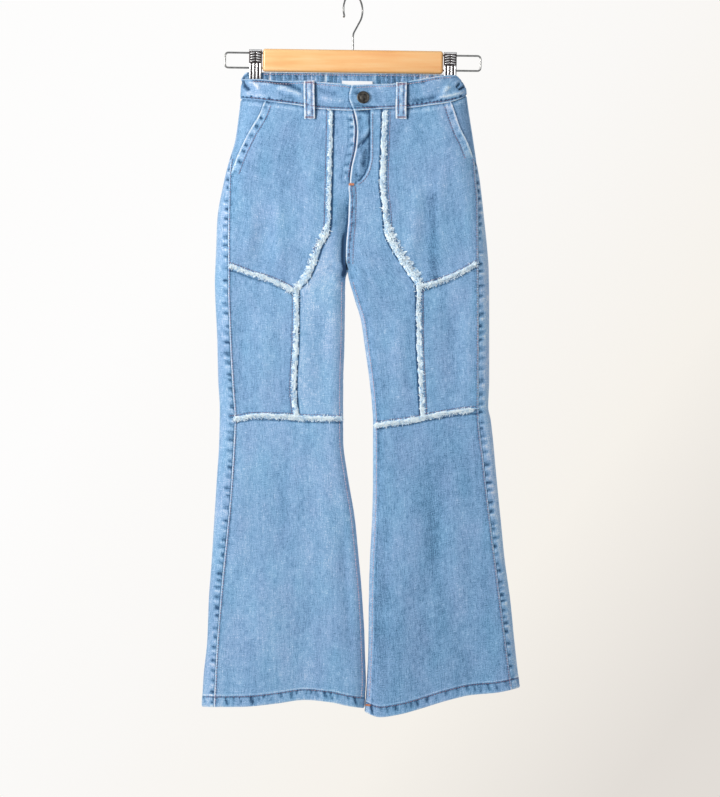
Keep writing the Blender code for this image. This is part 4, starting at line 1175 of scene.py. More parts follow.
def bandDetail(side):
    sign = sides[side]

    def detail(x, z, girth, s, t):
        up = (1 - t) * band["height"]
        down = t * band["height"]
        crease = creases(bandCreases, x, z) * smooth((0.95 - s) / 0.05)
        rise = band["stand"] + 1.6 * crease * smooth(up / 2.2) * smooth(down / 3)
        rise = rise + 0.18 * softNoise(x / 9, z / 9, 101) + 0.06 * softNoise(x / 4, z / 4, 102)
        # lighter on the creases' ridges, painted shade in their troughs
        wearAndShade = 0.7 * crease * smooth(up / 2) + 0.12 * softNoise(x / 10, z / 10, 103) + 0.02
        seamGather = puckers(x, down - 1.6, 6.0, 4.8, 1.3, 105 + sign)
        strength = smooth((np.abs(x) - 60) / 20) * 0.9 + 0.35
        rise = rise - 0.5 * seamGather * strength
        # painted shade in the puckers along the waist seam
        wearAndShade = wearAndShade - 2.0 * seamGather * strength
        wearAndShade = wearAndShade + loopShade("front", x, z)
        rise, wearAndShade = bandEdge(up, down, rise, wearAndShade)
        wearAndShade = wearAndShade - 1.3 * smooth(1 - down / 1.6) * smooth((-90 - x) / 14)
        if side == "left":
            fromEnd = girth
            rise = rise + 2.5 * smooth(1 - fromEnd / 26) + 0.5 * ridge(fromEnd - 2.0, 1.6)
            wearAndShade = wearAndShade + 1.1 * ridge(fromEnd - 0.6, 1.1) - 0.3 * ridge(fromEnd - 4.5, 1.5)
        else:
            fromEnd = -(x - centreFront(z))
            # painted shade where this end goes under the other half of the band
            wearAndShade = wearAndShade - 0.9 * ridge(fromEnd, 1.6)
            rise = rise - 0.3 * smooth(1 - fromEnd / 4)
        return rise, wearAndShade

    return detail


for side in sides:
    makeSheet(
        f"waistbandFront{side.capitalize()}", f"waistband_front_{side}", (150, 34), bandPlace(side),
        bandDetail(side), band["wall"], flip=side == "right", ends=(0.0, 0.35),
    )

gathers = {"step": 5.4, "height": 2.0, "clipAt": 122.0, "labelX": (-17, 28), "ease": 1.25}


def gatherRise(x, z):  # elastic pulls the back band into uneven upright folds
    random = np.random.default_rng(5)
    rise = -0.35 + 0 * x
    at = -125.0
    while at < 125.0:
        at += gathers["step"] * random.uniform(0.55, 1.5)
        width = random.uniform(1.1, 1.9)
        height = gathers["height"] * random.uniform(0.5, 1.2)
        lean = random.uniform(-0.12, 0.12)
        rise = rise + height * ridge(x - at - lean * (z + 118), width)
    calm = smooth((np.abs(np.abs(x) - gathers["clipAt"]) - 8.0) / 4.0)
    low, high = gathers["labelX"]
    overLabel = smooth((x - low + 3) / 4) * smooth((high + 3 - x) / 4)
    return rise * calm * (1 - 0.6 * overLabel) * smooth((124 - np.abs(x)) / 6 + (np.abs(x) > 131))


def backBandPlace(s, t):
    z = -118.0 + 0 * s
    for _ in range(40):
        left = outerFold["right"](z) + band["corner"] + 0.3
        right = outerFold["left"](z) - band["corner"] - 0.3
        x = left + s * (right - left)
        low = backWaist["bottom"](x) + 0.3
        z = 0.5 * z + 0.5 * (low + t * (backWaist["top"](x) - low))
    y = np.where(x < 0, clothY("right", "back", x, z), clothY("left", "back", x, z))
    return x, y, z


def backBandDetail(x, z, *grid):
    up = (1 - grid[-1]) * band["height"]
    down = grid[-1] * band["height"]
    gathered = gatherRise(x, z) * (0.35 + 0.65 * smooth(up / 4)) * (0.5 + 0.5 * smooth(down / 4))
    rise = gathered + 0.1 * softNoise(x / 6, z / 9, 111)
    # painted light and shade on the gathers, and a painted shadow of the bar along the top edge
    wearAndShade = -0.05 + 1.35 * gathered + 0.2 * softNoise(x / 4, z / 12, 113) - 0.6 * smooth(1 - up / 2.0)
    for level in band["elasticRows"]:  # rows of stitches that hold the elastic, grooves with painted shade
        rise = rise - 0.25 * ridge(up - level, 0.9)
        wearAndShade = wearAndShade - 0.25 * ridge(up - level, 0.9)
    return bandEdge(up, down, rise, wearAndShade)


makeSheet(
    "waistbandBack", "waistband_back", (420, 26), backBandPlace, backBandDetail, band["wall"],
    flip=True, ends=(0.0, 0.35),
)
print("waistband made")

# Belt loops: a folded strip with a bartack at each end, standing off the band between
def loopPlace(face, middle, top, bottom):
    side = "right" if middle < 0 else "left"
    out = 1 if face == "back" else -1

    def place(s, t):
        z = bottom + t * (top - bottom) + 0.8 * (s - 0.5) * np.sin(middle)
        x = middle + (s - 0.5) * loop["width"] + 0.5 * np.sin(3 * t + middle)
        rise = loop["base"] + loop["rise"] * np.clip(5.2 * t * (1 - t), 0, 1)
        return x, clothY(side, face, middle + 0 * x, z) + out * rise, z

    return place


def loopDetail(x, z, _, s, t):
    fromSide = np.minimum(s, 1 - s) * loop["width"]
    ends = np.minimum(t, 1 - t) * 47
    lumps = softNoise(x / 3, z / 4.5, 121)
    rise = 0.35 * ridge(fromSide - 1.4, 1.2) - 0.45 * ridge(fromSide - 3.6, 0.8)
    rise = rise + 0.25 * ridge(fromSide - 6, 1.6)
    rise = rise - 0.6 * smooth(1 - ends / 3.2) - 0.3 * smooth(1 - fromSide / 1.0)
    rise = rise + 0.12 * lumps
    # a paler, worn loop with light edges and ends, and painted shade in its stitch grooves
    wearAndShade = 0.5 + 1.15 * ridge(fromSide - 0.7, 1.1) - 1.0 * ridge(fromSide - 3.4, 0.9)
    wearAndShade = wearAndShade + 0.3 * ridge(fromSide - 6.4, 1.4) + 0.8 * lumps + 0.9 * ridge(ends, 1.4)
    return rise, wearAndShade


for name, (face, middle, top, bottom) in loops.items():
    makeSheet(
        f"beltLoop{name}", f"belt_loop_{face}_{name[len(face):].lower()}", (16, 50),
        loopPlace(face, middle, top, bottom), loopDetail, loop["wall"], flip=face == "back",
    )
print("belt loops made")

# Zip tape and shield behind the fly, and the plain label inside the back band
backing = {  # left, right, how far behind the front, wall
    "zip": (-4, 12, 1.8, 1.0, "zip_tape", tape),
    "shield": (-12, 24, 3.3, 1.3, "denim", denim),
}


def backingPlace(left, right, depth):
    def place(s, t):
        x = left + s * (right - left)
        z = -238 + t * (frontWaist["bottom"](x) + 236)
        return x, clothY("left", "front", x, z) + depth, z

    return place


def backingDetail(x, z, *_):
    return 0.1 * softNoise(x / 4, z / 9, 131), -0.3 + 0.1 * softNoise(x / 4, z / 9, 132)


for name, (left, right, depth, wall, slot, material) in backing.items():
    makeSheet(
        f"fly{name.capitalize()}", f"fly_{name}", (14, 40), backingPlace(left, right, depth),
        backingDetail, wall, slot=slot, material=material,
    )

tab = {"left": -13.8, "width": 38.2, "low": -127.0, "height": 19.0, "inset": 4.0, "wall": 0.7}


def tabPlace(s, t):
    x = tab["left"] + s * tab["width"]
    z = tab["low"] + t * tab["height"] - 0.6 * s
    return x, clothY("left", "back", x, z) - tab["inset"], z


def tabDetail(x, z, *_):
    return 0.25 * softNoise(x / 9, z / 20, 141), 0 * x


makeSheet("label", "label", (40, 20), tabPlace, tabDetail, tab["wall"], slot="label", material=satin)
print("fly backing and label made")


# Touching the made cloth: a tree of all its faces, met from the front or from the back
def clothTree():
    points = []
    faces = []
    start = 0
    for piece in clothPieces:
        spots, corners = readMesh(piece.data)
        points.append(spots)
        faces.append(corners.reshape(-1, 4) + start)
        start += len(spots)
    return BVHTree.FromPolygons(np.concatenate(points).tolist(), np.concatenate(faces).tolist())


tree = clothTree()


def touch(x, z, face="front"):  # y of the cloth at x and z, in millimetres, and its outward normal
    way = 1 if face == "front" else -1
    hit, normal, _, _ = tree.ray_cast(Vector((x * mm, -way * 0.3, z * mm)), Vector((0, way, 0)))
    if hit is None:
        return None, None
    if normal.y * way > 0:
        normal = -normal
    return hit.y / mm, normal


def raised(x, z, face, lift):  # a point off the cloth by the lift, or None past its edge
    y, normal = touch(x, z, face)
    if y is None:
        return None
    return x + normal.x * lift, y + normal.y * lift, z + normal.z * lift


def meshPiece(name, points, faces, tintsAndShades):
    mesh = bpy.data.meshes.new(name)
    mesh.from_pydata((points.reshape(-1, 3) * mm).tolist(), [], faces)
    paint(mesh, "tintAndShade", tintsAndShades)
    mesh.shade_smooth()
    return linked(name, mesh)


def tubeMesh(name, paths, radii, tintsAndShades, tubeSides, taper=0.35):
    # many short threads in one mesh: each path has the same number of points
    paths = np.asarray(paths)
    count, points, _ = paths.shape
    ahead = np.gradient(paths, axis=1)
    ahead /= np.maximum(np.linalg.norm(ahead, axis=2, keepdims=True), 1e-9)
    aside = np.cross(ahead, np.array([0.31, 0.87, 0.38]))
    aside /= np.maximum(np.linalg.norm(aside, axis=2, keepdims=True), 1e-9)
    above = np.cross(ahead, aside)
    angle = (np.arange(tubeSides) * 2 * np.pi / tubeSides)[None, None, :, None]
    thin = 1 - (1 - taper) * np.abs(np.linspace(-1, 1, points)) ** 4
    reach = np.asarray(radii)[:, None] * thin[None, :]
    about = np.cos(angle) * aside[:, :, None, :] + np.sin(angle) * above[:, :, None, :]
    spot = paths[:, :, None, :] + reach[:, :, None, None] * about
    ring = np.arange(tubeSides)
    following = (ring + 1) % tubeSides
    wall = []
    for low in np.arange(points - 1) * tubeSides:
        high = low + tubeSides
        wall.append(np.stack([low + ring, low + following, high + following, high + ring], axis=1))
    offsets = (np.arange(count) * points * tubeSides)[:, None, None]
    quads = (np.concatenate(wall)[None] + offsets).reshape(-1, 4)
    endFace = np.stack([ring[::-1], (points - 1) * tubeSides + ring])
    caps = (endFace[None] + offsets).reshape(-1, tubeSides)
    return meshPiece(name, spot, quads.tolist() + caps.tolist(), np.repeat(tintsAndShades, points * tubeSides))


# Topstitching
stitch = {
    "length": 2.5, "step": 3.4, "radius": 0.5, "sides": 5, "sink": 0.10, "proud": 0.34,
    "tackRadius": 0.4, "tackProud": 0.45,
}


def stitchPaths(line, face, random):
    # line is a list of x and z; each stitch dips into the cloth at its ends
    line = np.asarray(line, float)
    run = np.concatenate([[0], np.cumsum(np.linalg.norm(np.diff(line, axis=0), axis=1))])
    made = []
    at = 0.4
    while at + stitch["length"] < run[-1]:
        spots = []
        for share in (0.0, 0.3, 0.7, 1.0):
            where = at + share * stitch["length"]
            lift = stitch["proud"] if 0 < share < 1 else -stitch["sink"]
            x, z = (np.interp(where, run, line[:, k]) for k in (0, 1))
            spots.append(raised(x, z, face, lift))
        if None not in spots:
            made.append(spots)
        at += stitch["step"] * random.uniform(0.94, 1.06)
    return made


def downLine(line, high, low, shift=0.0, count=60):  # points along a seam that runs down
    z = np.linspace(high, low, count)
    return np.stack([line(z) + shift, z], axis=1)


def acrossLine(line, left, right, shift=0.0, count=60):
    x = np.linspace(left, right, count)
    return np.stack([x, line(x) + shift], axis=1)


def beside(points, distance):  # the same run, moved to its left by a distance
    ahead = np.gradient(points, axis=0)
    ahead /= np.linalg.norm(ahead, axis=1, keepdims=True)
    return points + distance * np.stack([-ahead[:, 1], ahead[:, 0]], axis=1)


random = np.random.default_rng(23)
mauveRuns = []
pinkRuns = []
for side, sign in sides.items():
    rows = pocketEdges[side]
    fork = hipSeams[side]["z"].min()
    inner = innerFold[side]
    opening = downLine(pocketEdge[side], frontWaist["bottom"](rows["x"][0]) - 2, rows["z"].min() - 4)
    hipRun = downLine(hipSeam[side], -147, fork + 6, 0, 90)
    hemRun = acrossLine(hemLine[side], inner(-890.0) + sign * 3, outerFold[side](-890.0) - sign * 2, 12.6, 90)
    mauveRuns += [
        (downLine(outseam[side], -206, hemLine[side](outseam[side](-880.0)) + 2, -sign * 1.6, 200), "front"),
        (beside(opening, -sign * pocket["band"]), "front"),
        (beside(hipRun, sign * (4.8 if side == "right" else 6.4)), "front"),
        (beside(downLine(thighSeam[side], fork - 6, -526), sign * 4.4), "front"),
        (acrossLine(hipLine[side], sign * 154.5, thighSeams[side]["x"][0], 3.4), "front"),
        (acrossLine(kneeLine[side], inner(-530.0) + sign * 3, sign * 155, 3.4, 90), "front"),
        (hemRun, "front"),
        (hemRun, "back"),
        (acrossLine(frontWaist["bottom"], 4.0 * sign, sign * 128, 2.9, 80), "front"),
    ]
    pinkRuns += [
        (acrossLine(frontWaist["top"], 4.0 * sign, sign * 126, -3.4, 80), "front"),
        (downLine(inner, -360, -880, sign * 4.5, 150), "front"),
    ]
for shift in (3.3, 5.4):
    mauveRuns.append((acrossLine(backWaist["top"], -118, 118, -shift, 80), "back"))
mauveRuns.append((acrossLine(backWaist["bottom"], -130, 130, 2.9, 80), "back"))
for level in band["elasticRows"]:
    pinkRuns.append((acrossLine(backWaist["top"], -124, 124, -level, 80), "back"))
pinkRuns.append((acrossLine(backWaist["top"], -112, 112, -2.6, 80), "front"))
mauveRuns += [
    (beside(downLine(flyCurve, -150, -236.5), 3.4), "front"),
    (downLine(centreFront, -150, -232, -2.2), "front"),
]
for shift in (1.6, 6.2):
    mauveRuns.append((downLine(centreFront, -241, -338, shift), "front"))
for shift in (2.0, 6.0):
    mauveRuns.append((downLine(innerFold["left"], -138, -330, shift), "back"))
for face, middle, top, bottom in loops.values():
    for x in (middle - 3.4, middle + 3.4):
        mauveRuns.append((np.array([(x, top - 3.5), (x, bottom + 3.5)]), face))


def sewPiece(name, paths, radii, lightness, material):
    tintsAndShades = random.uniform(*lightness, len(paths))
    piece = tubeMesh(name, paths, radii(len(paths)), tintsAndShades, stitch["sides"])
    coloured(piece, material)
    declare(piece, "denim")
    return len(paths)


def sewRuns(name, runs, material):
    paths = []
    for line, face in runs:
        paths += stitchPaths(line, face, random)

    def radii(count):
        return stitch["radius"] * random.uniform(0.85, 1.15, count)

    return sewPiece(name, paths, radii, (0.0, 0.7), material)


def tackPaths(x, z, width, tall, face="front", count=9):  # close zigzag over a short bar
    made = []
    for along in np.linspace(-0.5, 0.5, count):
        ends = []
        for way in (-0.5, -0.2, 0.2, 0.5):
            shareX, shareZ = (way, along) if tall > width else (along, way)
            lift = stitch["tackProud"] if abs(way) < 0.4 else -stitch["sink"]
            ends.append(raised(x + shareX * width, z + shareZ * tall, face, lift))
        made.append(ends)
    return made


def sewTacks(name, tacks, material):
    paths = []
    for tack in tacks:
        paths += tackPaths(*tack)
    sewPiece(name, paths, lambda count: np.full(count, stitch["tackRadius"]), (0.3, 1.0), material)


total = sewRuns("topstitchMauve", mauveRuns, mauve)
total += sewRuns("topstitchPink", pinkRuns, pink)
loopTacks = []
for face, middle, top, bottom in loops.values():
    for z in (top - 2.2, bottom + 2.2):
        loopTacks.append((middle, z, 9.5, 2.2, face, 12))
sewTacks("bartacksMauve", loopTacks, mauve)
sewTacks("bartackRust", [(-2.0, -238.5, 6.0, 3.4, "front", 10)], rust)
sewTacks("bartackInseam", [(innerFold["left"](-889.0) + 3.4, -889.5, 5.2, 3.0, "front", 9)], rust)
print("stitches made:", total)

# Frayed edges: a pale folded edge along each lapped seam, covered with loose threads
fray = {  # threads, where they root, width at the narrow and the wide end, and how far they lean
    "hipRight": {"count": 850, "rootIn": -2.8, "width": (4.6, 9.8), "lean": 0.8},
    "hipLeft": {"count": 950, "rootIn": -3.4, "width": (6.6, 13.0), "lean": 1.0},
    "thigh": {"count": 560, "rootIn": -3.6, "width": (6.2, 6.2), "lean": 0.8},
    "side": {"count": 460, "rootIn": -0.9, "width": (5.4, 7.4), "lean": 1.0},
    "knee": {"count": 720, "rootIn": -0.9, "width": (6.4, 6.4), "lean": 1.0},
}
frayFold = table(  # the folded edge: its points across, and how far each stands off the cloth
    "share lift",
    (-0.04, -0.3), (0.02, 0.8), (0.1, 1.1), (0.24, 1.0), (0.38, 0.9), (0.52, 0.7), (0.66, 0.4), (0.8, -0.2),
)
frayStep = 0.85
threadPoints = 6
threadLongest = 7.5


class Edge:  # a raw edge as points of x and z: read by the distance along it
    def __init__(self, line, out, wide, width):
        self.line = line
        self.run = np.concatenate([[0], np.cumsum(np.linalg.norm(np.diff(line, axis=0), axis=1))])
        ahead = np.gradient(line, axis=0)
        self.ahead = ahead / np.linalg.norm(ahead, axis=1, keepdims=True)
        self.out = out * np.stack([-self.ahead[:, 1], self.ahead[:, 0]], axis=1)
        self.wide = wide
        self.width = width

    def at(self, where):  # the point, the ways along and out, the share of the width, and the width
        found = []
        for values in (self.line, self.ahead, self.out):
            found.append(np.array([np.interp(where, self.run, values[:, k]) for k in (0, 1)]))
        share = float(np.interp(where, self.run, self.wide))
        return (*found, share, np.interp(share, (0, 1), self.width))


def tuftAt(at, share):  # how far the edge's tufts reach, from -1 to 1
    value = 0.8 * softNoise(np.array(at / 4.2), np.array(share), 7)
    return float(value + 0.55 * softNoise(np.array(at / 1.7), np.array(0.3 + share), 8))


def frayBand(edge, look, random):  # rows of points on the folded edge, each with a tint and painted shade
    rows = []
    tintsAndShades = []
    for at in np.linspace(0, edge.run[-1], int(edge.run[-1] / frayStep)):
        base, ahead, away, wide, width = edge.at(at)
        sway = 1.3 * softNoise(np.array(at / 4.5), np.array(0.5), 9)
        base = base + away * (sway + random.uniform(-0.35, 0.35))
        width = width * np.clip(1.05 + 1.3 * tuftAt(at, wide), 0.55, 1.4)
        if at < 2.5 or at > edge.run[-1] - 2.5:
            width *= 0.7
        row = []
        tintAndShade = []
        for share, lift in zip(*frayFold.values()):
            jitter = random.uniform(-0.22, 0.22, 2)
            spot = base + away * (look["rootIn"] + share * width) + ahead * jitter[0] * (share > 0.1)
            y, _ = touch(*spot)
            if y is None:
                y = row[-1][1] + 0.5 if row else 0.0
            rough = random.uniform(-0.5, 0.5) if 0.05 < share < 0.75 else 0.0
            row.append((spot[0], y - lift - rough, spot[1]))
            # white and pale blue threads, with painted shade in the gaps and on the root row tucked under
            clump = softNoise(np.array(at / 2.6), np.array(share * 3), 12)
            tintAndShade.append(np.clip(0.86 + 1.0 * clump + random.normal(0, 0.16) - 0.5 * (share < 0), 0, 1))
        rows.append(row)
        tintsAndShades.append(tintAndShade)
    return np.array(rows), np.array(tintsAndShades)


def frayPaths(edge, look, random):  # loose threads, rooted in the band and curling over its ragged side
    paths = []
    tintsAndShades = []
    radii = []
    count = look["count"]
    root = look["rootIn"]
    for at in (np.arange(count) + random.uniform(0, 1, count)) / count * edge.run[-1]:
        base, along, away, share, width = edge.at(at)
        tuft = tuftAt(at, share)
        loose = random.uniform() < 0.3  # some threads run along the edge instead of out of it
        length = width * max(0.74 + 0.35 * tuft, 0.35) * random.uniform(0.5, 1.15)
        length = min(length, threadLongest)
        if loose:
            angle = random.choice((-1, 1)) * random.uniform(0.8, 1.5)
            start = base + away * (root + random.uniform(0.1, 0.9) * width)
            length = min(length, random.uniform(2.5, 5.0))
        else:
            angle = random.normal(0.5 * tuft, look["lean"])
            start = base + away * (root + random.uniform(0.05, 0.5) * width)
        turn = random.normal(0, 1.6)
        high = random.uniform(0.3, 1.1)
        y, _ = touch(*start)
        if y is None:
            continue
        here = start.copy()
        path = []
        curl = random.uniform(0, 6.3)
        for part in np.linspace(0, 1, threadPoints):
            bend = angle + turn * part
            if part > 0:
                heading = away * math.cos(bend) + along * math.sin(bend)
                here = here + heading * length / (threadPoints - 1)
            wave = 0.25 * math.sin(curl + 5.2 * part)
            out = float(np.dot(here - base, away) - root) / width
            lift = np.interp(out, (0, 0.15, 0.5, 1.0, 1.3), (0.9, 1.7, 1.4, 0.8, 0.4))
            up = lift + high * math.sin(math.pi * (0.1 + 0.8 * part)) + 0.2 * math.sin(curl + 7 * part)
            path.append((here[0] + along[0] * wave, y - up, here[1] + along[1] * wave))
        paths.append(path)
        radii.append(random.uniform(0.22, 0.4))
        # white and pale blue threads, with painted shade between the curls
        clump = float(softNoise(np.array(at / 2.2), np.array(random.uniform(0, 0.6)), 14))
        tintsAndShades.append(np.clip(0.94 + 0.8 * clump + random.normal(0, 0.27), 0, 1))
    return paths, radii, tintsAndShades


def frayPiece(name, side, line, look, wide):
    title = f"{name}Fringe{side.capitalize()}"
    random = np.random.default_rng(sum(map(ord, title)))
    edge = Edge(line, sides[side], wide, look["width"])
    rows, shade = frayBand(edge, look, random)
    paths, radii, tintsAndShades = frayPaths(edge, look, random)
    piece = tubeMesh(title, paths, radii, tintsAndShades, 4)
    along, across, _ = rows.shape
    k = np.arange(along - 1)[:, None] * across + np.arange(across - 1)[None, :]
    quads = np.stack([k, k + 1, k + across + 1, k + across], axis=-1).reshape(-1, 4)
    selectOnly(piece, meshPiece(title + "Band", rows, quads.tolist(), shade))
    bpy.ops.object.join()
    coloured(piece, frayed)
    declare(piece, "fray", f"fray_{name}_{side}")
    return len(paths)


threads = 0
for side, sign in sides.items():
    fork = hipSeams[side]["z"].min()
    hipRun = downLine(hipSeam[side], -146.5, fork, 0, 120)
    wide = smooth((-284 - hipRun[:, 1]) / 14)
    threads += frayPiece("hip", side, hipRun, fray["hip" + side.capitalize()], wide)
    thighRun = downLine(thighSeam[side], fork + 2, -529, 0, 80)
    threads += frayPiece("thigh", side, thighRun, fray["thigh"], np.zeros(80))
    sideRun = acrossLine(hipLine[side], sign * 154.5, thighSeams[side]["x"][0] + sign * 2, 1.0, 60)
    threads += frayPiece("side", side, sideRun, fray["side"], np.linspace(0, 1, 60))
    kneeRun = acrossLine(kneeLine[side], sign * 150, innerFold[side](-530.0) + sign * 1.5, 1.0, 90)
    threads += frayPiece("knee", side, kneeRun, fray["knee"], np.zeros(90))
print("frayed threads made:", threads)

# Hard pieces. The hanger hangs a little lower at the wearer's left, turned about the foot of the hook.
hanger = {
    "tilt": math.radians(0.8), "barHalf": 113, "barTop": -69.3, "barBottom": -98, "barThick": 12,
    "barEdge": 3.4, "clipAt": 122, "clipWidth": 16, "clipTop": -70.6,
    "railRadius": 1.2, "railLevels": (-74.6, -93.4),
    "railReach": 161.3, "railCorner": 4.0, "railIn": 10, "hookRadius": 20.2, "hookWire": 1.2, "hookEnd": 205,
    "swivel": math.radians(54), "kinkZ": -49.5, "kink": 4.0, "boreRadius": 1.7, "boreDepth": 13,
}
foot = Vector((0, 0, hanger["barTop"] * mm))
hangerTurn = Matrix.Translation(foot) @ Matrix.Rotation(hanger["tilt"], 4, "Y") @ Matrix.Translation(-foot)
flatSide = (0, math.pi / 2, 0)


def settled(piece, material, slot, node, angle, turned=True):
    if turned:
        piece.matrix_world = hangerTurn @ piece.matrix_world
        bpy.context.view_layer.update()
    selectOnly(piece)
    bpy.ops.object.transform_apply(location=True, rotation=True, scale=True)
    bpy.ops.object.shade_smooth_by_angle(angle=math.radians(angle))
    coloured(piece, material)
    declare(piece, slot, node)


def bevelled(piece, width, segments, angle=30):
    edges = {"width": width * mm, "segments": segments, "limit_method": "ANGLE"}
    applied(piece, "BEVEL", {**edges, "angle_limit": math.radians(angle)})
    return piece


def block(name, x, low, high, width, depth):
    bpy.ops.mesh.primitive_cube_add(size=1, location=(x * mm, 0, (low + high) / 2 * mm))
    piece = bpy.context.object
    piece.name = name
    piece.scale = (width * mm, depth * mm, (high - low) * mm)
    bpy.ops.object.transform_apply(location=False, rotation=False, scale=True)
    return piece


def cylinder(spot, radius, depth, vertices, rotation=(0, 0, 0)):
    bpy.ops.mesh.primitive_cylinder_add(
        vertices=vertices, radius=radius * mm, depth=depth * mm, location=Vector(spot) * mm, rotation=rotation
    )
    return bpy.context.object


def makeWood():  # pale varnished hardwood, its grain along the bar
    made, tree, shader, coords = newMaterial("varnishedWood")
    bands = addNoise(tree, coords, (9, 60, 160), 3.0, 0.55)
    fibre = addNoise(tree, coords, (60, 1200, 2200))
    cloud = addNoise(tree, coords, (14, 20, 26), 1.0)
    value = addSway(tree, cloud, 0.6, addSway(tree, fibre, 0.35, bands))
    grain = addRamp(tree, value, (
        (0.25, (0.83, 0.42, 0.155)), (0.45, (0.87, 0.49, 0.20)),
        (0.6, (0.88, 0.54, 0.25)), (0.8, (0.88, 0.61, 0.32)),
    ))
    # painted light: lighter towards the bar's left end, darker and warmer towards its right
    along = addNode(tree, "ShaderNodeSeparateXYZ", {}, {0: coords}).outputs[0]
    share = addMath(tree, "MULTIPLY_ADD", along, 4.4, 0.5)
    paintedFalloff = addRamp(tree, share, ((0.0, (1.02, 1.02, 1.02)), (1.0, (0.95, 0.84, 0.70))))
    rough = addMath(tree, "MULTIPLY_ADD", fibre, 0.15, 0.30)
    varnish = {"Roughness": rough, "Coat Weight": 0.25, "Coat Roughness": 0.2}
    finishShader(shader, addMix(tree, 1.0, grain, paintedFalloff, "MULTIPLY"), fibre, (0.12, 0.0002), varnish)
    return made


def makeMetal(name, dark, light, roughness, scale, pressed=False):
    made, tree, shader, coords = newMaterial(name)
    fine = addNoise(tree, coords, scale)
    colour = addRamp(tree, addNoise(tree, coords, (260, 260, 260), 3.0), ((0.3, dark), (0.7, light)))
    if pressed:  # painted reflection: the plate between the ribs is painted dark
        colour = addMix(tree, addAttribute(tree, "shine"), (0.055, 0.045, 0.045, 1), colour)
    rough = addMath(tree, "MULTIPLY_ADD", fine, 0.15, roughness)
    finishShader(shader, colour, fine, (0.15, 0.00005), {"Roughness": rough, "Metallic": 1.0})
    return made


wood = makeWood()
steel = makeMetal("drawnSteel", (0.20, 0.20, 0.19), (0.34, 0.33, 0.32), 0.22, (400, 400, 3000))
chrome = makeMetal("pressedChrome", (0.72, 0.70, 0.69), (0.86, 0.84, 0.83), 0.26, (900, 900, 900), True)
brass = makeMetal("darkBrass", (0.026, 0.025, 0.024), (0.10, 0.09, 0.078), 0.36, (1500, 1500, 1500))


def makeBar():
    top = hanger["barTop"]
    bar = block("hangerBar", 0, hanger["barBottom"], top, 2 * hanger["barHalf"], hanger["barThick"])
    bevelled(bar, hanger["barEdge"], 6)
    drill = cylinder((0, 0, top), hanger["boreRadius"], 2 * hanger["boreDepth"], 24)
    applied(bar, "BOOLEAN", {"object": drill, "operation": "DIFFERENCE"})
    bpy.data.objects.remove(drill)
    settled(bar, wood, "bar_wood", "hanger_bar", 35)


def wirePiece(name, points, radius, node, turned):
    path = bpy.data.curves.new(name, "CURVE")
    path.dimensions = "3D"
    path.bevel_depth = radius * mm
    path.bevel_resolution = 5
    path.use_fill_caps = True
    line = path.splines.new("POLY")
    line.points.add(len(points) - 1)
    for spot, point in zip(line.points, points):
        spot.co = (*(Vector(point) * mm), 1)
    selectOnly(linked(name, path))
    bpy.ops.object.convert(target="MESH")
    piece = bpy.context.object
    edited(piece, weld, facesOut)
    settled(piece, steel, "hanger_steel", node, 50, turned)


def arc(middle, radius, start, end, count):
    angles = np.radians(np.linspace(start, end, count))
    return [(middle[0] + radius * math.cos(a), middle[1] + radius * math.sin(a)) for a in angles]


def makeHook():
    radius = hanger["hookRadius"]
    kink = hanger["kink"]
    kinkZ = hanger["kinkZ"]
    middleZ = -(radius - hanger["hookWire"])
    start = -90 + math.degrees(math.acos(radius / (middleZ - kinkZ)))
    circle = arc((0, middleZ), radius, start, hanger["hookEnd"], 64)
    out = Vector((circle[0][0], circle[0][1] - kinkZ)).normalized()
    flat = [(0, hanger["barTop"] - 12), (0, kinkZ - kink)]
    for share in np.linspace(0.15, 0.85, 6):  # the stem leans over in a short even bend
        flat.append((out.x * kink * share**2, kinkZ - kink * (1 - share) ** 2 + out.y * kink * share**2))
    flat += [(out.x * kink, kinkZ + out.y * kink)] + circle
    flat.append((circle[-1][0] - 1.5, circle[-1][1] - 1.5))
    turnX, turnY = math.cos(hanger["swivel"]), math.sin(hanger["swivel"])
    points = [(h * turnX, h * turnY, z) for h, z in flat]
    wirePiece("hangerHook", points, hanger["hookWire"], "hanger_hook", False)


def makeRail(side):
    top, low = hanger["railLevels"]
    inside = hanger["barHalf"] - hanger["railIn"]
    radius = hanger["railCorner"]
    corner = hanger["railReach"] - hanger["railRadius"] - radius
    flat = [(inside, top)] + arc((corner, top - radius), radius, 90, 0, 9)
    flat += arc((corner, low + radius), radius, 0, -90, 9) + [(inside, low)]
    points = [(sides[side] * x, 0, z) for x, z in flat]
    wirePiece(f"rail{side.capitalize()}", points, hanger["railRadius"], f"rail_{side}", True)


jawLook = {
    "plate": 1.2, "ridges": 4, "ridgeTop": -75.2, "ridgeStep": 3.15, "ridgeSize": (3.5, 1.3, 1.0),
    "ridgeTilt": math.radians(12), "ridgeColumn": 3.6, "ridgeSink": 0.1, "lipRadius": 1.1, "lipDrop": 1.3,
    "fluteLow": -112.3, "fluteTop": -87.2, "fluteRadius": 1.35, "flutes": (-6.6, -2.4, 1.8, 6.2),
}
jawRows = table(  # how far the inner faces are from the clip's middle plane
    "z front back",
    (-70.6, 5.6, 5.6), (-76, 5.0, 5.0), (-84, 3.9, 3.9), (-94, 3.7, 3.7),
    (-101, 2.6, 2.2), (-110.5, 1.5, 1.3), (-113.5, 2.0, 1.8),
)


def shineJoined(piece, own, parts, shine):  # painted reflection: how bright the piece and its parts are
    paint(piece.data, "shine", np.full(len(piece.data.vertices), own))
    for part in parts:
        paint(part.data, "shine", np.full(len(part.data.vertices), shine))
    selectOnly(piece, *parts)
    bpy.ops.object.join()


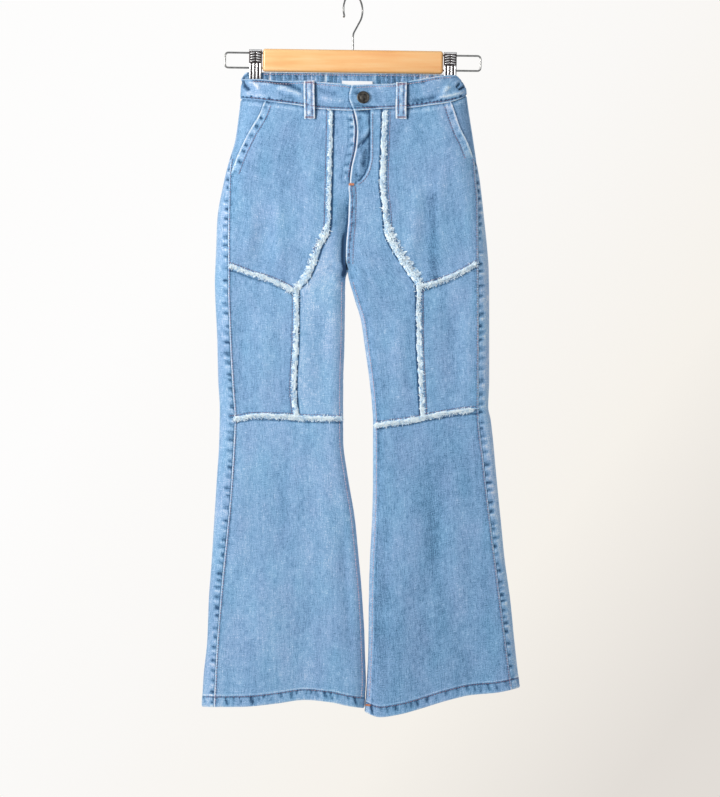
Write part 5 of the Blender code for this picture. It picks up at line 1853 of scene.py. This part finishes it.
def makeJaw(side, face):
    look = jawLook
    plate = look["plate"]
    way = -1 if face == "front" else 1
    x = sides[side] * hanger["clipAt"]
    levels = jawRows["z"]
    reaches = jawRows[face]

    def outerReach(level):
        return np.interp(-level, -levels, reaches) + plate

    bpy.ops.mesh.primitive_plane_add(size=1)
    jaw = bpy.context.object
    jaw.name = f"clipJaw{face.capitalize()}{side.capitalize()}"
    jaw.data.transform(Matrix.Diagonal((hanger["clipWidth"] * mm, plate * mm, 1, 1)))
    jaw.data.transform(Matrix.Translation(Vector((x, way * (reaches[0] + plate / 2), levels[0])) * mm))
    steps = []
    for down, out in zip(np.diff(levels), np.diff(reaches)):  # drawn down along the pressed profile
        move = {"value": (0, way * out * mm, down * mm)}
        steps.append((bpy.ops.mesh.extrude_region_move, {"TRANSFORM_OT_translate": move}))
    edited(jaw, *steps)
    edited(jaw, facesOut)
    bevelled(jaw, 0.45, 3, 50)

    pressed = []
    for row in range(look["ridges"]):
        level = look["ridgeTop"] - row * look["ridgeStep"]
        out = way * (outerReach(level) - look["ridgeSink"])
        for column in (-1, 1):
            bpy.ops.mesh.primitive_uv_sphere_add(
                segments=20, ring_count=12, radius=1, rotation=(0, column * look["ridgeTilt"], 0),
                location=Vector((x + column * look["ridgeColumn"], out, level)) * mm,
            )
            bump = bpy.context.object
            bump.scale = Vector(look["ridgeSize"]) * mm
            pressed.append(bump)
    edge = (x, way * outerReach(levels[0]), levels[0] - look["lipDrop"])
    lip = cylinder(edge, look["lipRadius"], hanger["clipWidth"] - 1.0, 20, flatSide)
    pressed.append(bevelled(lip, 0.5, 3, 60))
    top = look["fluteTop"]
    low = look["fluteLow"]
    tilt = math.atan2(way * (outerReach(top) - outerReach(low)), top - low)
    out = way * (outerReach(top) + outerReach(low)) / 2
    for offset in look["flutes"]:
        middle = (x + offset, out, (top + low) / 2)
        flute = cylinder(middle, look["fluteRadius"], top - low, 20, (-tilt, 0, 0))
        pressed.append(bevelled(flute, 0.9, 4, 60))
    # painted reflection: the plate dark, the ribs, lip and flutes bright
    shineJoined(jaw, 0.0, pressed, 1.0)
    settled(jaw, chrome, "clip_chrome", f"clip_jaw_{face}_{side}", 45)


def makeCarrier(side):  # the slide that the jaws turn on, with its coiled spring round the pin
    x = sides[side] * hanger["clipAt"]
    spring = {"turns": 6, "step": 1.4, "radius": 2.6, "wire": 0.55, "z": -88.5}
    body = block(
        f"clipCarrier{side.capitalize()}", x, hanger["railLevels"][1] - 2.6, hanger["clipTop"] - 1.2,
        hanger["clipWidth"] - 3, 6,
    )
    edited(body, (bpy.ops.mesh.inset, {"thickness": 1.2 * mm, "depth": -0.5 * mm, "use_individual": True}))
    bevelled(body, 0.35, 2, 40)
    rings = []
    for k in range(spring["turns"]):
        bpy.ops.mesh.primitive_torus_add(
            major_segments=24, minor_segments=8, major_radius=spring["radius"] * mm,
            minor_radius=spring["wire"] * mm, rotation=flatSide,
            location=Vector((x + (k - (spring["turns"] - 1) / 2) * spring["step"], 0, spring["z"])) * mm,
        )
        rings.append(bpy.context.object)
    # painted reflection: the carrier and its spring a little darker than the ribs
    shineJoined(body, 0.7, rings, 0.7)
    settled(body, chrome, "clip_chrome", f"clip_carrier_{side}", 40)


button = {
    "x": 13.0, "z": -130.0, "radius": 7.8, "thick": 1.5, "stand": 2.9, "facing": (-0.06, -1, 0.05),
    "beads": 20, "beadRing": 5.1, "beadRadius": 0.42, "beadZ": 0.55, "shank": (3.0, 3.6, -2.3),
    "steps": ((1.3, 0.25), (0.35, -0.45), (2.0, -0.05), (0.3, 0.35), (1.6, 0.22), (1.2, 0.06)),
}


def makeButton():  # a plain shank button: rolled rim, sunk ring with a rope edge, low domed middle
    y, _ = touch(button["x"], button["z"])
    piece = cylinder((0, 0, 0), button["radius"], button["thick"], 64)
    piece.name = "button"
    bpy.ops.object.mode_set(mode="EDIT")
    bpy.ops.mesh.select_mode(type="FACE")
    bpy.ops.mesh.select_all(action="DESELECT")
    bpy.ops.object.mode_set(mode="OBJECT")
    for face in piece.data.polygons:
        face.select = face.normal.z > 0.9
    bpy.ops.object.mode_set(mode="EDIT")
    for thick, depth in button["steps"]:
        bpy.ops.mesh.inset(thickness=thick * mm, depth=depth * mm)
    bpy.ops.object.mode_set(mode="OBJECT")
    bevelled(piece, 0.28, 3, 25)
    parts = []
    for angle in np.arange(button["beads"]) * 2 * math.pi / button["beads"]:
        ring = button["beadRing"]
        spot = Vector((ring * math.cos(angle), ring * math.sin(angle), button["beadZ"])) * mm
        bpy.ops.mesh.primitive_ico_sphere_add(subdivisions=2, radius=button["beadRadius"] * mm, location=spot)
        parts.append(bpy.context.object)
    radius, depth, z = button["shank"]
    parts.append(cylinder((0, 0, z), radius, depth, 32))
    selectOnly(piece, *parts)
    bpy.ops.object.join()
    facing = Vector(button["facing"]).normalized()
    middle = Vector((button["x"], y, button["z"])) * mm + facing * button["stand"] * mm
    piece.matrix_world = Matrix.Translation(middle) @ facing.to_track_quat("Z", "Y").to_matrix().to_4x4()
    bpy.context.view_layer.update()
    settled(piece, brass, "button_metal", "button", 35, False)


makeBar()
makeHook()
for side in sides:
    makeRail(side)
    makeCarrier(side)
    for face in ("front", "back"):
        makeJaw(side, face)
makeButton()
print("hanger and button made")

# Camera, light and a plain pale floor
view = {"middle": (0.00875, -0.506), "distance": 7.0, "front": -0.02, "height": 0.996, "sensor": 36.0}
scene = bpy.context.scene
lens = bpy.data.cameras.new("camera")
lens.sensor_width = view["sensor"]
lens.lens = view["sensor"] * view["distance"] / view["height"]
camera = linked("camera", lens)
camera.location = (view["middle"][0], view["front"] - view["distance"], view["middle"][1])
camera.rotation_euler = (math.pi / 2, 0, 0)
scene.camera = camera
scene.view_settings.view_transform = "Standard"

lamps = {  # where each stands, its power, its width and its colour
    "key": ((-1.1, -1.2, 0.05), 22.3, 0.4, (1.0, 1.0, 0.99)),
    "fill": ((0.5, -2.3, 0.1), 4.1, 1.0, (0.97, 0.985, 1.0)),
    "backLeft": ((-1.4, 1.9, 0.4), 16.0, 1.4, (1.0, 0.99, 0.97)),
    "backRight": ((1.6, 1.7, 0.1), 10.3, 1.4, (0.97, 0.985, 1.0)),
}
for name, (spot, power, width, colour) in lamps.items():
    light = bpy.data.lights.new(name, "AREA")
    light.energy = power
    light.size = width
    light.color = colour
    lamp = linked(name, light)
    lamp.location = spot
    lamp.visible_camera = False
    aim = Vector((0, 0, -0.42)) - Vector(spot)
    lamp.rotation_euler = aim.to_track_quat("-Z", "Y").to_euler()

sky = {  # the light round the cloth, and the wall seen behind it, with painted shade low on its right
    "light": (0.506, 0.529, 0.552, 1),
    "slope": (5.0, 0, -3.8),
    "wall": (
        (0.25, (0.985, 0.98, 0.975)), (0.5, (0.955, 0.94, 0.92)), (0.76, (0.921, 0.887, 0.831)),
        (1.0, (0.76, 0.723, 0.68)),
    ),
}
world = bpy.data.worlds.new("studio")
scene.world = world
world.use_nodes = True
tree = world.node_tree
ray = addNode(tree, "ShaderNodeLightPath", {}, {}).outputs["Is Camera Ray"]
toward = addNode(tree, "ShaderNodeTexCoord", {}, {}).outputs["Generated"]
slope = addNode(tree, "ShaderNodeVectorMath", {"operation": "DOT_PRODUCT"}, {0: toward, 1: sky["slope"]})
fade = addMath(tree, "ADD", slope.outputs["Value"], 0.5)
feed(tree.nodes["Background"], {"Color": addMix(tree, ray, sky["light"], addRamp(tree, fade, sky["wall"]))})


def makeFloor():
    bpy.ops.mesh.primitive_circle_add(vertices=96, radius=2.4, fill_type="NGON", location=(0, 0, -1.75))
    floor = bpy.context.object
    floor.name = "floor"
    made, tree, shader, coords = newMaterial("paleFloor")
    shades = ((0.3, (0.90, 0.89, 0.87)), (0.7, (0.93, 0.92, 0.90)))
    colour = addRamp(tree, addNoise(tree, coords, (3, 3, 3), 3.0), shades)
    feed(shader, {"Base Color": colour, "Roughness": 0.9})
    coloured(floor, made)


makeFloor()

# Every sheet's cut, as it lay flat before it was sewn and hung
for piece in clothPieces + [bpy.data.objects["label"]]:
    held, ease, rests = "hung", 1.0, ["waistbandBack"]
    if piece.name == "waistbandBack":
        held, ease, rests = "gathered", gathers["ease"], ["clipJawFrontRight", "clipJawFrontLeft"]
    width, length, area = cutSizes[piece.name]
    flat = (round(width * ease, 4), round(length, 4))
    area = round(flat[0] * flat[1] * (area / (width * length)), 6)
    print("cut", piece.name, flat, "area", round(area * 1e4), "cm2")

made = [piece.data for piece in bpy.data.objects if piece.type == "MESH"]
counts = [sum(len(face.vertices) - 2 for face in mesh.polygons) for mesh in made]
print("triangles", sum(counts), "largest", max(counts))
